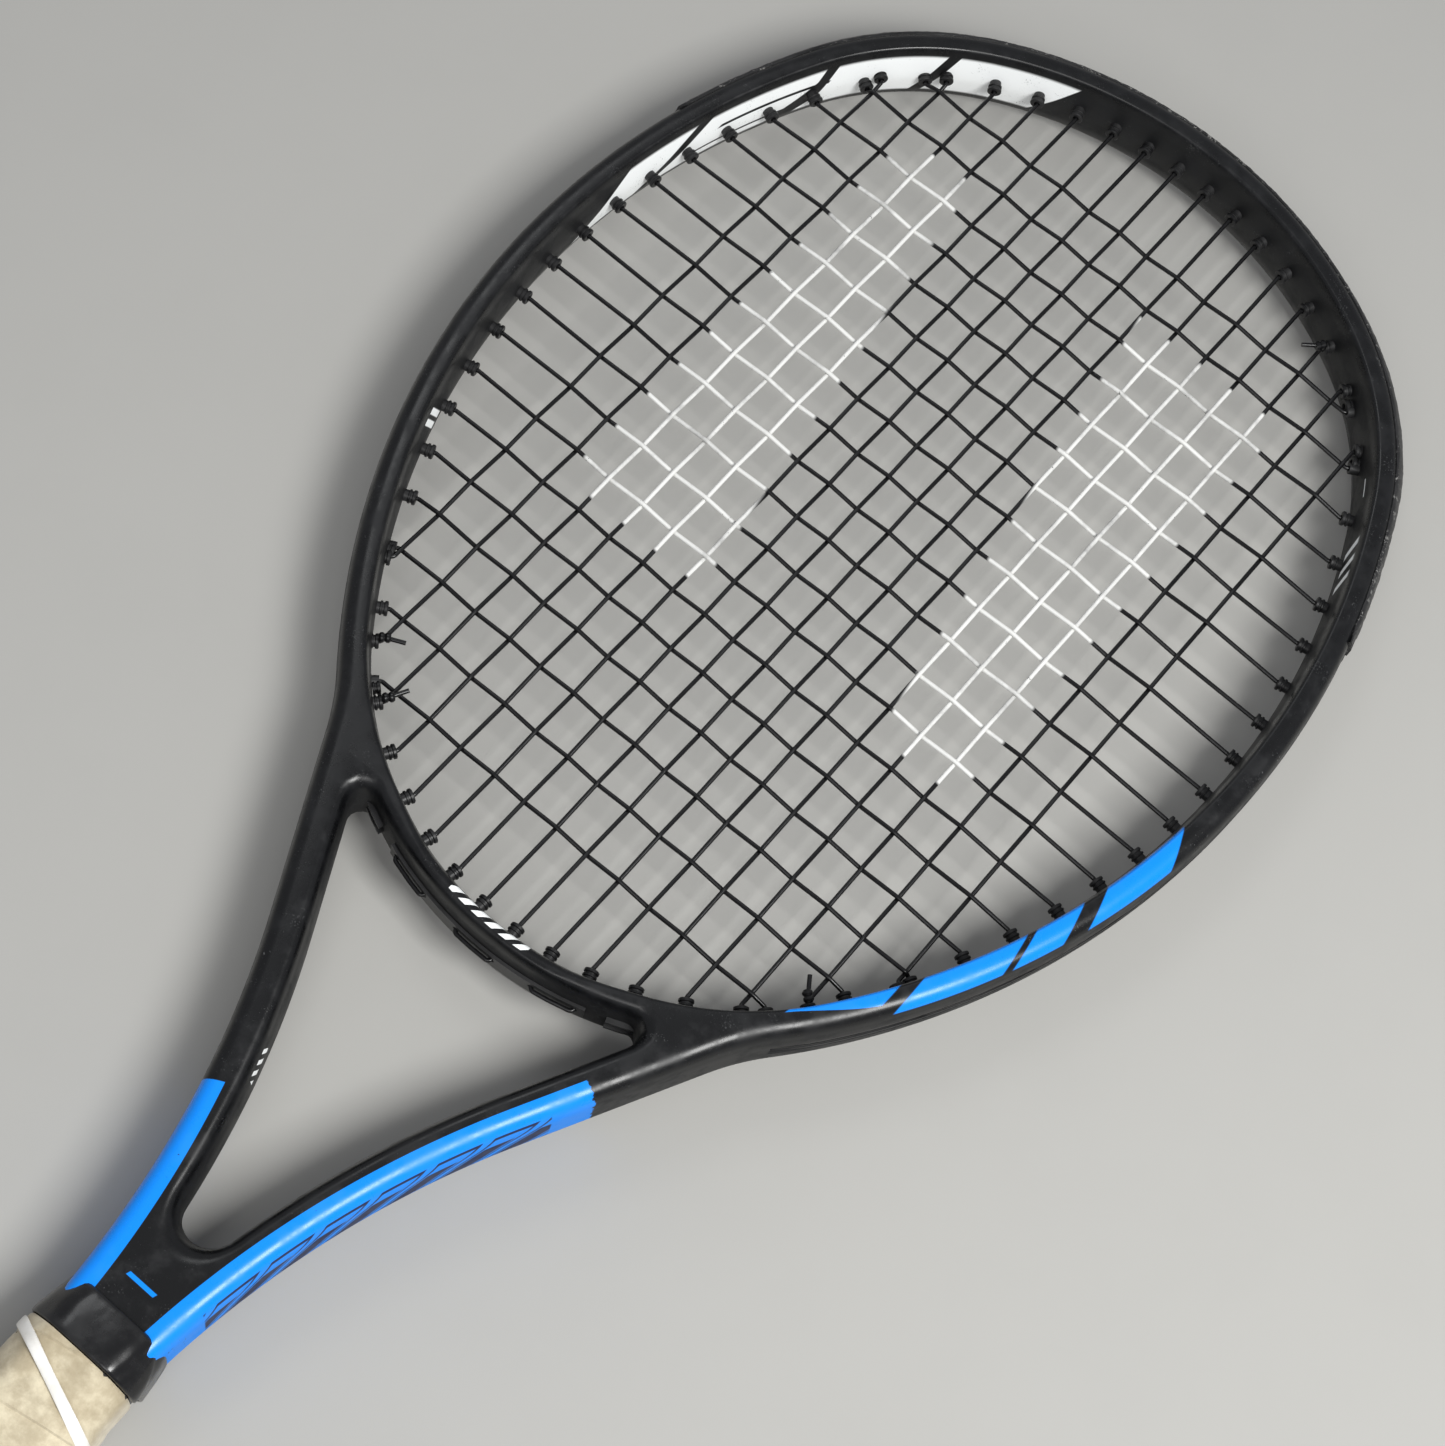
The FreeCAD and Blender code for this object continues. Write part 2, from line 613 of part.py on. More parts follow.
def bumper(joint, ends):
    """Bumper guard: a channel in the groove whose wings cover the outside of the head."""
    floor = GROOVE_FLOOR + STRIP_GAP
    half = GROOVE_HALF - STRIP_GAP
    seat = OUTER_WALL + STRIP_GAP / 2
    proud = OUTER_WALL + BUMPER_PROUD
    span = (-joint, joint)
    base = hoop_strip(floor, floor + STRIP_BASE, *span, -half, half)
    lip = hoop_strip(floor, proud, *span, LANE_HALF, half)
    wing = hoop_strip(seat, proud, *span, LANE_HALF, BUMPER_HALF - BUMPER_BEVEL)
    wires = [
        closed_wire(hoop_edges(seat, *span) + hoop_edges(top, span[1], span[0]))
        for top in (proud, proud - BUMPER_BEVEL / 2)
    ]
    edge = frustum(wires[0], BUMPER_HALF - BUMPER_BEVEL, wires[1], BUMPER_HALF)
    guard = base.fuse(both_sides(lip) + both_sides(wing) + both_sides(edge))
    return with_sleeves(guard, ends).removeSplitter()


def throat_strip(ends):
    """Strip on the handle side of the bridge."""
    angle = 180 - math.degrees(math.asin((BRIDGE_HALF_SPAN - 1) / THROAT_RADIUS))
    halves = [
        hoop_strip(BRIDGE_OUTER + STRIP_GAP / 2, BRIDGE_OUTER + THROAT_STRIP_BASE, side * angle, side * 180,
                   -THROAT_STRIP_HALF, THROAT_STRIP_HALF)
        for side in (-1, 1)
    ]
    return with_sleeves(halves[0].fuse(halves[1]).removeSplitter(), ends)


def staple(side):
    """Wire staple through the butt cap and a pallet on one edge of the handle."""
    y = BUTT_Y + STAPLE_FROM_BUTT
    share = (STAPLE_FROM_BUTT - CAP_LIP_LENGTH) / (CAP_LENGTH - CAP_LIP_LENGTH)
    top = grown(PALLET, CAP_GAP + CAP_WALL)
    face = CAP_ROOT[0] + (top[0] - CAP_ROOT[0]) * share
    crown_x = side * (face - STAPLE_WIRE - STAPLE_WIRE / 2)
    wire = STAPLE_WIRE
    crown = Part.makeBox(wire, wire, STAPLE_CROWN, vec(crown_x - wire / 2, y - wire / 2, -STAPLE_CROWN / 2))
    legs = [
        Part.makeBox(STAPLE_LEG, wire, wire, vec(
            crown_x - (STAPLE_LEG if side > 0 else 0), y - wire / 2, s * (STAPLE_CROWN - wire) / 2 - wire / 2))
        for s in (-1, 1)
    ]
    return crown.fuse(legs).removeSplitter()


def handle_parts():
    """Pallets, butt cap, door, staples, wraps, tape, collar and band."""
    shapes = {}
    core = Part.makeBox(2 * CORE_HALF_WIDTH, OVERALL_LENGTH, 2 * CORE_HALF_HEIGHT,
                        vec(-CORE_HALF_WIDTH, BUTT_Y, -CORE_HALF_HEIGHT))
    pallet_low = BUTT_Y + CAP_FLOOR + CAP_GAP
    pallets = octagon_bar((pallet_low, PALLET), (COLLAR_BOTTOM, PALLET)).cut(core)
    room = 4 * PALLET[0]
    upper = Part.makeBox(room, OVERALL_LENGTH, room, vec(-room / 2, BUTT_Y, 0))
    lower = Part.makeBox(room, OVERALL_LENGTH, room, vec(-room / 2, BUTT_Y, -room))
    cap_top = grown(PALLET, CAP_GAP + CAP_WALL)
    lip_y = BUTT_Y + CAP_LIP_LENGTH
    cap_y = BUTT_Y + CAP_LENGTH
    cap = octagon_bar((BUTT_Y, CAP_LIP), (lip_y, CAP_LIP))
    cap = cap.fuse(octagon_bar((lip_y, CAP_ROOT), (cap_y, cap_top)))
    socket = grown(PALLET, CAP_GAP)
    width, height = DOOR_SIZE
    opening = Part.makeBox(width, CAP_FLOOR, height, vec(-width / 2, BUTT_Y, -height / 2))
    cap = cap.cut([octagon_bar((pallet_low - CAP_GAP, socket), (cap_y, socket)), opening])
    door = Part.makeBox(width - 2 * DOOR_GAP, CAP_FLOOR, height - 2 * DOOR_GAP,
                        vec(DOOR_GAP - width / 2, BUTT_Y, DOOR_GAP - height / 2))
    staples = [staple(side) for side in (-1, 1)]
    shapes["butt_cap"] = cap.cut(staples)
    shapes["butt_cap_door"] = door
    shapes["butt_cap_staples"] = Part.makeCompound(staples)
    shapes["upper_pallet"] = pallets.common(upper).cut(staples)
    shapes["lower_pallet"] = pallets.common(lower).cut(staples)

    wrap_end = COLLAR_BOTTOM - FIT_GAP
    inside = [(lip_y, CAP_ROOT), (cap_y, cap_top), (cap_y + WRAP_TAPER, PALLET), (wrap_end, PALLET)]
    layers = [inside] + [
        [(y, grown(size, by)) for y, size in inside]
        for by in (BASE_GRIP_THICKNESS, BASE_GRIP_THICKNESS + OVERGRIP_THICKNESS)
    ]
    shapes["base_grip"] = octagon_bar(*layers[1]).cut(octagon_bar(*inside))
    shapes["overgrip"] = octagon_bar(*layers[2]).cut(octagon_bar(*layers[1]))
    tape_bottom = COLLAR_BOTTOM + FIT_GAP
    tape_top = tape_bottom + TAPE_LENGTH
    shapes["finishing_tape"] = octagon_sleeve(
        (tape_bottom, neck_octagon(tape_top, WRAP_GAP)), (tape_top, neck_octagon(tape_top, WRAP_GAP)),
        TAPE_THICKNESS)
    over_tape = WRAP_GAP + TAPE_THICKNESS + WRAP_GAP
    shapes["rubber_collar"] = octagon_sleeve(
        (COLLAR_BOTTOM, neck_octagon(tape_top, over_tape)),
        (COLLAR_TOP, neck_octagon(COLLAR_TOP + COLLAR_TRAVEL, over_tape)), COLLAR_WALL)
    shapes["rubber_band"] = band(grown(PALLET, BASE_GRIP_THICKNESS + OVERGRIP_THICKNESS + FIT_GAP))
    return shapes


def band(inside):
    """Elastic ring that goes slantwise round the grip."""
    middle = COLLAR_BOTTOM - BAND_FROM_COLLAR
    reach = inside[0] + BAND_THICKNESS + BAND_WIDTH
    spots = (middle - reach, middle + reach)
    outside = grown(inside, BAND_THICKNESS)
    ring = octagon_bar(*[(y, outside) for y in spots]).cut(octagon_bar(*[(y, inside) for y in spots]))
    slab = Part.makeBox(4 * reach, BAND_WIDTH, 4 * reach, vec(-2 * reach, -BAND_WIDTH / 2, -2 * reach))
    slab.rotate(vec(0, 0, 0), vec(0, 0, 1), -BAND_TILT)
    slab.translate(vec(0, middle, 0))
    return ring.common(slab)


def build():
    """Every piece by name, with the string plane at height zero."""
    mains, crosses = main_ends(), cross_ends()
    ends = [end for pair in mains + crosses for end in pair]
    at_bridge = [end for end in ends if end.at_bridge]
    joint = strip_joint(ends)
    at_tip = [end for end in ends if angle_size(end.angle) < joint]
    others = [end for end in ends if end not in at_bridge and end not in at_tip]

    body = moulding()
    block = bridge_block()
    bridge = body.common(block)
    frame = body.cut(block).cut(cavities() + string_channels())
    shapes = {
        "frame": frame.cut([end.hole() for end in ends if not end.at_bridge]),
        "throat_bridge": bridge.cut([end.hole() for end in at_bridge]),
        "bumper_guard": bumper(joint, at_tip),
        "left_grommet_strip": grommet_strip(-1, joint, [end for end in others if end.angle < 0]),
        "right_grommet_strip": grommet_strip(1, joint, [end for end in others if end.angle > 0]),
        "throat_grommet_strip": throat_strip(at_bridge),
    }

    main_route = string_route(mains, cross_places(), False, 1, 1)
    cross_route = string_route(crosses, main_places(), True, 1, -1)
    shapes["main_string"] = cord(main_route, STRING_DIAMETER)
    shapes["cross_string"] = cord(cross_route, STRING_DIAMETER)
    shapes["main_knot_left"] = tie_off(mains[1][1], vec(1, 0))
    shapes["main_knot_right"] = tie_off(mains[-2][1], vec(0, 1))
    shapes["cross_knot_start"] = tie_off(mains[-3][0], vec(-1, 0))
    shapes["cross_knot_end"] = tie_off(mains[2][1], vec(0, 1))
    shapes.update(handle_parts())
    return shapes


def main():
    os.makedirs("parts", exist_ok=True)
    for name, shape in build().items():
        placed = shape.copy()
        placed.translate(vec(0, 0, LIFT))
        placed.exportStep("parts/%s.step" % name)
        print("%-22s solids %d valid %s volume %.0f" % (
            name, len(placed.Solids), placed.isValid(), placed.Volume))


main()
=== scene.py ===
"""Looks of a strung tennis racket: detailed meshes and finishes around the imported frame."""

import json
import logging
import math
from dataclasses import dataclass
from enum import Enum
from typing import Iterable, Sequence

import bmesh
import bpy
from mathutils import Matrix, Vector, geometry, noise

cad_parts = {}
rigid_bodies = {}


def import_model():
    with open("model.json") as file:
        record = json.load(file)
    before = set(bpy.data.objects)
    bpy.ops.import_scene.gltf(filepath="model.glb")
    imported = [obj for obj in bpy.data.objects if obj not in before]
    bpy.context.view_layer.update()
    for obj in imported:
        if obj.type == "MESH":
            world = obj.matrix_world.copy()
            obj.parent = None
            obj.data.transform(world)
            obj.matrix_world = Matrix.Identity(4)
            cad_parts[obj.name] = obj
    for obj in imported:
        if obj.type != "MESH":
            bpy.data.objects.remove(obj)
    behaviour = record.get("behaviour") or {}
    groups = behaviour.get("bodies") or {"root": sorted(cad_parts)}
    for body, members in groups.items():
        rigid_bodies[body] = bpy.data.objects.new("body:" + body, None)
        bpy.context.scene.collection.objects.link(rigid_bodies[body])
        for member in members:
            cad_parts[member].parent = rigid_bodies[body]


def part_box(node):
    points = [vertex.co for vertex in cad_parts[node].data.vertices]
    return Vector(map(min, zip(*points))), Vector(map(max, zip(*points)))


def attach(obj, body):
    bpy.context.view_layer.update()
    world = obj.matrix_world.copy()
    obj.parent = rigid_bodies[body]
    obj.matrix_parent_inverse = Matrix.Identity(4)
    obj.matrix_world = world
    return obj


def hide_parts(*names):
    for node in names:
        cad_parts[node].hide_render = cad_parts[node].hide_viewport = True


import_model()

LOG = logging.getLogger("racket")
MM = 0.001

Colour = tuple[float, float, float, float]
Socket = bpy.types.NodeSocket
Value = Socket | float


class Body(Enum):
    """Moving groups of the racket."""

    RACKET = "racket"
    COLLAR = "collar"
    BAND = "band"


class Wall(Enum):
    """The three outlines of the moulded frame."""

    OUTER = "outer"
    HEAD = "head"
    THROAT = "throat"


def smooth_step(value: float, low: float, high: float) -> float:
    """Share from 0 to 1 that rises smoothly between two values, which may run either way."""
    share = min(1.0, max(0.0, (value - low) / (high - low)))
    return share * share * (3 - 2 * share)


def plane_normal(angle: float) -> Vector:
    """Unit vector at a plane angle in degrees: 0 towards the tip, 90 to the right."""
    return Vector((math.sin(math.radians(angle)), math.cos(math.radians(angle))))


def uneven(place: Vector, scale: float, seed: float = 0.0) -> float:
    """Smooth unevenness from about -1 to 1.

    Args:
        place: Point in metres.
        scale: Size of the bumps in millimetres.
        seed: Shift that gives another pattern.

    Returns:
        Height of the pattern at the point.
    """
    return noise.noise(place / (scale * MM) + Vector((seed, seed * 1.7, -seed)))


def mesh_object(name: str, mesh: bmesh.types.BMesh, sharp: float = 50.0) -> bpy.types.Object:
    """Turns a finished bmesh into a smooth object in the scene.

    Args:
        name: Name of the piece.
        mesh: The geometry, which is freed.
        sharp: Edges that turn by more than this many degrees stay sharp.

    Returns:
        The new object.
    """
    bmesh.ops.recalc_face_normals(mesh, faces=mesh.faces)
    data = bpy.data.meshes.new(name)
    mesh.to_mesh(data)
    mesh.free()
    data.shade_smooth()
    data.set_sharp_from_angle(angle=math.radians(sharp))
    piece = bpy.data.objects.new(name, data)
    bpy.context.scene.collection.objects.link(piece)
    return piece


class Graph:
    """Writes shader expressions as nodes in one tree."""

    def __init__(self, tree: bpy.types.NodeTree) -> None:
        """Starts on a node tree."""
        self.tree = tree

    def node(self, kind: str, **settings: object) -> bpy.types.Node:
        """Adds a node and sets its properties.

        Args:
            kind: Blender type of the node.
            settings: Properties and their values.

        Returns:
            The new node.
        """
        made = self.tree.nodes.new(kind)
        for key, value in settings.items():
            setattr(made, key, value)
        return made

    def feed(self, socket: Socket, value: object) -> None:
        """Links a socket to an input, or sets the input's own value."""
        if isinstance(value, bpy.types.NodeSocket):
            self.tree.links.new(value, socket)
        else:
            socket.default_value = value

    def math(self, operation: str, *values: Value) -> Socket:
        """Result of a Math node.

        Args:
            operation: Blender name of the operation.
            values: Its inputs in order.

        Returns:
            The result.
        """
        made = self.node("ShaderNodeMath", operation=operation)
        for socket, value in zip(made.inputs, values):
            self.feed(socket, value)
        return made.outputs[0]

    def total(self, values: Iterable[Socket]) -> Socket:
        """Largest of several masks.

        Args:
            values: The masks.

        Returns:
            The largest mask.
        """
        result, *others = list(values)
        for other in others:
            result = self.math("MAXIMUM", result, other)
        return result

    def both(self, *values: Value) -> Socket:
        """Product of several masks."""
        result, *others = values
        for other in others:
            result = self.math("MULTIPLY", result, other)
        return result

    def without(self, mask: Value, removed: Value) -> Socket:
        """A mask less another one."""
        return self.math("MULTIPLY", mask, self.math("SUBTRACT", 1.0, removed))

    def above(self, value: Value, edge: Value, soft: float) -> Socket:
        """Mask that is 1 where a value is over an edge."""
        return self.scaled(self.math("SUBTRACT", value, edge), -soft, soft)

    def below(self, value: Value, edge: Value, soft: float) -> Socket:
        """Mask that is 1 where a value is under an edge."""
        return self.scaled(self.math("SUBTRACT", edge, value), -soft, soft)

    def between(self, value: Value, low: float, high: float, soft: float) -> Socket:
        """Mask that is 1 between two values."""
        return self.both(self.above(value, low, soft), self.below(value, high, soft))

    def scaled(self, value: Value, low: float, high: float, first: float = 0.0, last: float = 1.0) -> Socket:
        """Value mapped smoothly from one range to another.

        Args:
            value: What is mapped.
            low: Start of its range.
            high: End of its range.
            first: Result at the start.
            last: Result at the end.

        Returns:
            The mapped value.
        """
        made = self.node("ShaderNodeMapRange", interpolation_type="SMOOTHSTEP")
        for socket, item in zip(made.inputs, (value, low, high, first, last)):
            self.feed(socket, item)
        return made.outputs[0]

    def mixed(self, share: Value, first: object, second: object) -> Socket:
        """Colour between two others.

        Args:
            share: 0 for the first colour, 1 for the second.
            first: First colour.
            second: Second colour.

        Returns:
            The mixed colour.
        """
        made = self.node("ShaderNodeMix", data_type="RGBA")
        self.feed(made.inputs[0], share)
        self.feed(made.inputs[6], first)
        self.feed(made.inputs[7], second)
        return made.outputs[2]

    def mixed_value(self, share: Value, first: Value, second: Value) -> Socket:
        """Value between two others.

        Args:
            share: 0 for the first value, 1 for the second.
            first: First value.
            second: Second value.

        Returns:
            The mixed value.
        """
        made = self.node("ShaderNodeMix", data_type="FLOAT")
        for socket, item in zip((made.inputs[0], made.inputs[2], made.inputs[3]), (share, first, second)):
            self.feed(socket, item)
        return made.outputs[0]

    def place(self) -> Socket:
        """Position on the piece, in metres."""
        return self.node("ShaderNodeTexCoord").outputs["Object"]

    def parts(self, vector: Socket) -> tuple[Socket, Socket, Socket]:
        """The three parts of a vector.

        Args:
            vector: The vector.

        Returns:
            Its x, y and z.
        """
        made = self.node("ShaderNodeSeparateXYZ")
        self.feed(made.inputs[0], vector)
        return tuple(made.outputs)

    def millimetres(self) -> tuple[Socket, Socket, Socket]:
        """Position on the piece, in millimetres."""
        return tuple(self.math("DIVIDE", part, MM) for part in self.parts(self.place()))

    def noise(self, scale: Value, detail: float = 3.0, rough: float = 0.6) -> Socket:
        """Noise whose scale is in bumps per metre.

        Args:
            scale: Bumps per metre.
            detail: How many finer layers are added.
            rough: How strong the finer layers are.

        Returns:
            The noise, from 0 to 1.
        """
        made = self.node("ShaderNodeTexNoise")
        self.feed(made.inputs["Vector"], self.place())
        self.feed(made.inputs["Scale"], scale)
        made.inputs["Detail"].default_value = detail
        made.inputs["Roughness"].default_value = rough
        return made.outputs[0]

    def attribute(self, name: str) -> Socket:
        """Value that a mesh carries at its points."""
        return self.node("ShaderNodeAttribute", attribute_name=name).outputs["Fac"]

    def placed(self, group: bpy.types.NodeTree, **values: object) -> bpy.types.Node:
        """Places a node group with its own values.

        Args:
            group: The node group.
            values: Values by the names of its inputs, in lower case.

        Returns:
            The placed group.
        """
        made = self.node("ShaderNodeGroup", node_tree=group)
        for key, value in values.items():
            self.feed(made.inputs[key.replace("_", " ").title()], value)
        return made


class Effects:
    """Node groups that several finishes share."""

    def __init__(self) -> None:
        """Builds every group once."""
        self.scuffs = self.make_scuffs()
        self.grain = self.make_grain()
        self.grime = self.make_grime()
        self.arc_place = self.make_arc_place()

    @staticmethod
    def start(name: str, inputs: Sequence[tuple[str, float]], outputs: Sequence[str]) -> tuple:
        """Starts a group.

        Args:
            name: Name of the group.
            inputs: Names and defaults of its values.
            outputs: Names of what it puts out.

        Returns:
            The tree, its graph, and its input and output nodes.
        """
        tree = bpy.data.node_groups.new(name, "ShaderNodeTree")
        for label, value in inputs:
            socket = tree.interface.new_socket(label, in_out="INPUT", socket_type="NodeSocketFloat")
            socket.default_value = value
        for label in outputs:
            tree.interface.new_socket(label, in_out="OUTPUT", socket_type="NodeSocketFloat")
        graph = Graph(tree)
        return tree, graph, graph.node("NodeGroupInput"), graph.node("NodeGroupOutput")

    def make_scuffs(self) -> bpy.types.NodeTree:
        """Short scratches and chips that gather in patches."""
        tree, graph, inside, outside = self.start("scuffs", [("Size", 1.0), ("Amount", 0.5)], ["Mask"])
        near = graph.math("DIVIDE", 1 / MM, inside.outputs["Size"])
        patches = graph.noise(graph.math("MULTIPLY", near, 0.07), 2.0)
        flecks = graph.noise(near, 4.0, 0.75)
        level = graph.math("ADD", flecks, graph.math("MULTIPLY", patches, 0.45))
        edge = graph.math("SUBTRACT", 1.12, graph.math("MULTIPLY", inside.outputs["Amount"], 0.35))
        graph.feed(outside.inputs["Mask"], graph.above(level, edge, 0.02))
        return tree

    def make_grain(self) -> bpy.types.NodeTree:
        """Fine surface unevenness for a Bump node's height."""
        tree, graph, inside, outside = self.start("grain", [("Size", 1.0), ("Depth", 1.0)], ["Height"])
        near = graph.math("DIVIDE", 1 / MM, inside.outputs["Size"])
        fine = graph.noise(near, 5.0, 0.7)
        broad = graph.noise(graph.math("MULTIPLY", near, 0.15), 2.0)
        height = graph.math("ADD", fine, graph.math("MULTIPLY", broad, 1.5))
        graph.feed(outside.inputs["Height"], graph.math("MULTIPLY", height, inside.outputs["Depth"]))
        return tree

    def make_grime(self) -> bpy.types.NodeTree:
        """Soft stains and dust."""
        tree, graph, inside, outside = self.start("grime", [("Size", 20.0), ("Amount", 0.5)], ["Mask"])
        near = graph.math("DIVIDE", 1 / MM, inside.outputs["Size"])
        cloud = graph.noise(near, 6.0, 0.65)
        edge = graph.math("SUBTRACT", 0.8, graph.math("MULTIPLY", inside.outputs["Amount"], 0.5))
        graph.feed(outside.inputs["Mask"], graph.above(cloud, edge, 0.16))
        return tree

    def make_arc_place(self) -> bpy.types.NodeTree:
        """Plane angle and distance from an arc of the head, with its left side negative."""
        inputs = [("Centre X", 0.0), ("Centre Y", 0.0), ("Radius", 100.0)]
        tree, graph, inside, outside = self.start("arc_place", inputs, ["Angle", "Out"])
        x, y, _ = graph.millimetres()
        across = graph.math("SUBTRACT", graph.math("ABSOLUTE", x), inside.outputs["Centre X"])
        ahead = graph.math("SUBTRACT", y, inside.outputs["Centre Y"])
        angle = graph.math("DEGREES", graph.math("ARCTAN2", across, ahead))
        graph.feed(outside.inputs["Angle"], graph.math("MULTIPLY", angle, graph.math("SIGN", x)))
        squares = [graph.math("POWER", part, 2.0) for part in (across, ahead)]
        far = graph.math("SQRT", graph.math("ADD", *squares))
        graph.feed(outside.inputs["Out"], graph.math("SUBTRACT", far, inside.outputs["Radius"]))
        return tree


@dataclass(frozen=True)
class Finish:
    """What every finish has: a base colour, a gloss and a fine grain."""

    name: str
    colour: Colour
    roughness: float
    grain_size: float = 0.4
    grain_depth: float = 0.3
    metallic: float = 0.0
    coat: float = 0.0
    sheen: float = 0.0
    specular: float = 0.35

    def begin(self) -> tuple[bpy.types.Material, Graph, bpy.types.Node]:
        """Makes the material with its constants set on the shader's own sockets."""
        material = bpy.data.materials.new(self.name)
        material.use_nodes = True
        graph = Graph(material.node_tree)
        shader = material.node_tree.nodes["Principled BSDF"]
        shader.inputs["Metallic"].default_value = self.metallic
        shader.inputs["Coat Weight"].default_value = self.coat
        shader.inputs["Coat Roughness"].default_value = 0.12
        shader.inputs["Sheen Weight"].default_value = self.sheen
        shader.inputs["Specular IOR Level"].default_value = self.specular
        return material, graph, shader

    def colour_and_gloss(self, graph: Graph, effects: Effects) -> tuple[object, object]:
        """Colour and roughness over the surface. A finish with more on it replaces this.

        Args:
            graph: The material's graph.
            effects: Shared groups.

        Returns:
            Colour and roughness.
        """
        dust = graph.placed(effects.grime, size=14.0, amount=0.55).outputs[0]
        worn = tuple(min(1.0, part * 1.7 + 0.02) for part in self.colour[:3]) + (1.0,)
        colour = graph.mixed(graph.both(dust, 0.55), self.colour, worn)
        return colour, graph.scaled(dust, 0.0, 1.0, self.roughness, min(1.0, self.roughness + 0.18))

    def relief(self, graph: Graph, effects: Effects) -> Socket:
        """Height in millimetres for the Bump node."""
        return graph.placed(effects.grain, size=self.grain_size, depth=self.grain_depth).outputs[0]

    def make(self, effects: Effects) -> bpy.types.Material:
        """Builds the material.

        Args:
            effects: Shared groups.

        Returns:
            The material.
        """
        material, graph, shader = self.begin()
        colour, gloss = self.colour_and_gloss(graph, effects)
        graph.feed(shader.inputs["Base Color"], colour)
        graph.feed(shader.inputs["Roughness"], gloss)
        bump = graph.node("ShaderNodeBump")
        bump.inputs["Strength"].default_value = 0.35
        bump.inputs["Distance"].default_value = 0.1 * MM
        graph.feed(bump.inputs["Height"], self.relief(graph, effects))
        graph.feed(shader.inputs["Normal"], bump.outputs[0])
        return material


@dataclass(frozen=True)
class HeadLine:
    """Centreline of the hoop, its walls and the two shafts, in millimetres."""

    tip_y: float
    neck_y: float
    string_z: float
    radii: tuple[float, float, float] = (136.0, 97.0, 230.0)
    turns: tuple[float, float, float] = (30.7, 34.9, 61.0)
    inner_wall: float = 3.6
    outer_wall: float = 5.6
    bridge_outer: float = 3.9
    half_beam: float = 12.0
    leave_angle: float = 130.0
    crook_radius: float = 80.0
    tilt: float = 27.0
    shaft_straight: float = 55.0
    shaft_width: float = 11.8
    neck_half: float = 14.4
    corner_radius: float = 4.0
    crotch_radius: float = 8.2

    @property
    def limits(self) -> list[float]:
        """Plane angles where one arc gives way to the next."""
        return [sum(self.turns[:k]) for k in range(4)] + [180.0]

    @property
    def all_radii(self) -> list[float]:
        """Radius of each arc, the last one sized to close at the throat."""
        edges = [math.sin(math.radians(a)) for a in self.limits]
        reach = sum(r * (edges[k + 1] - edges[k]) for k, r in enumerate(self.radii))
        return [*self.radii, reach / edges[3]]

    @property
    def centres(self) -> list[Vector]:
        """Centre of each arc on the right side."""
        found = [Vector((0.0, self.tip_y - self.radii[0]))]
        for k in range(1, 4):
            step = self.all_radii[k - 1] - self.all_radii[k]
            found.append(found[-1] + plane_normal(self.limits[k]) * step)
        return found

    @property
    def shaft_foot(self) -> Vector:
        """Where the right shaft's straight outside meets the neck."""
        leave = self.centres[2] + plane_normal(self.leave_angle) * (self.radii[2] + self.outer_wall)
        crook = leave + plane_normal(self.leave_angle) * self.crook_radius
        top = crook - plane_normal(90 + self.tilt) * self.crook_radius
        return top - plane_normal(self.tilt) * self.shaft_straight

    @property
    def neck_radius(self) -> float:
        """Radius of the neck's outside."""
        return (self.shaft_foot.x - self.neck_half) / (1 - math.cos(math.radians(self.tilt)))

    @property
    def neck_centre(self) -> Vector:
        """Centre of the right neck arc, which lies outside the racket."""
        return self.shaft_foot + plane_normal(90 + self.tilt) * self.neck_radius


@dataclass
class Station:
    """One place on an outline, with its way out of the material and how wide its bevel is."""

    place: Vector
    out: Vector
    bevel: float = 1.0
    groove: float = 0.0
    crest: float = 5.2
    swell: float = 1.0


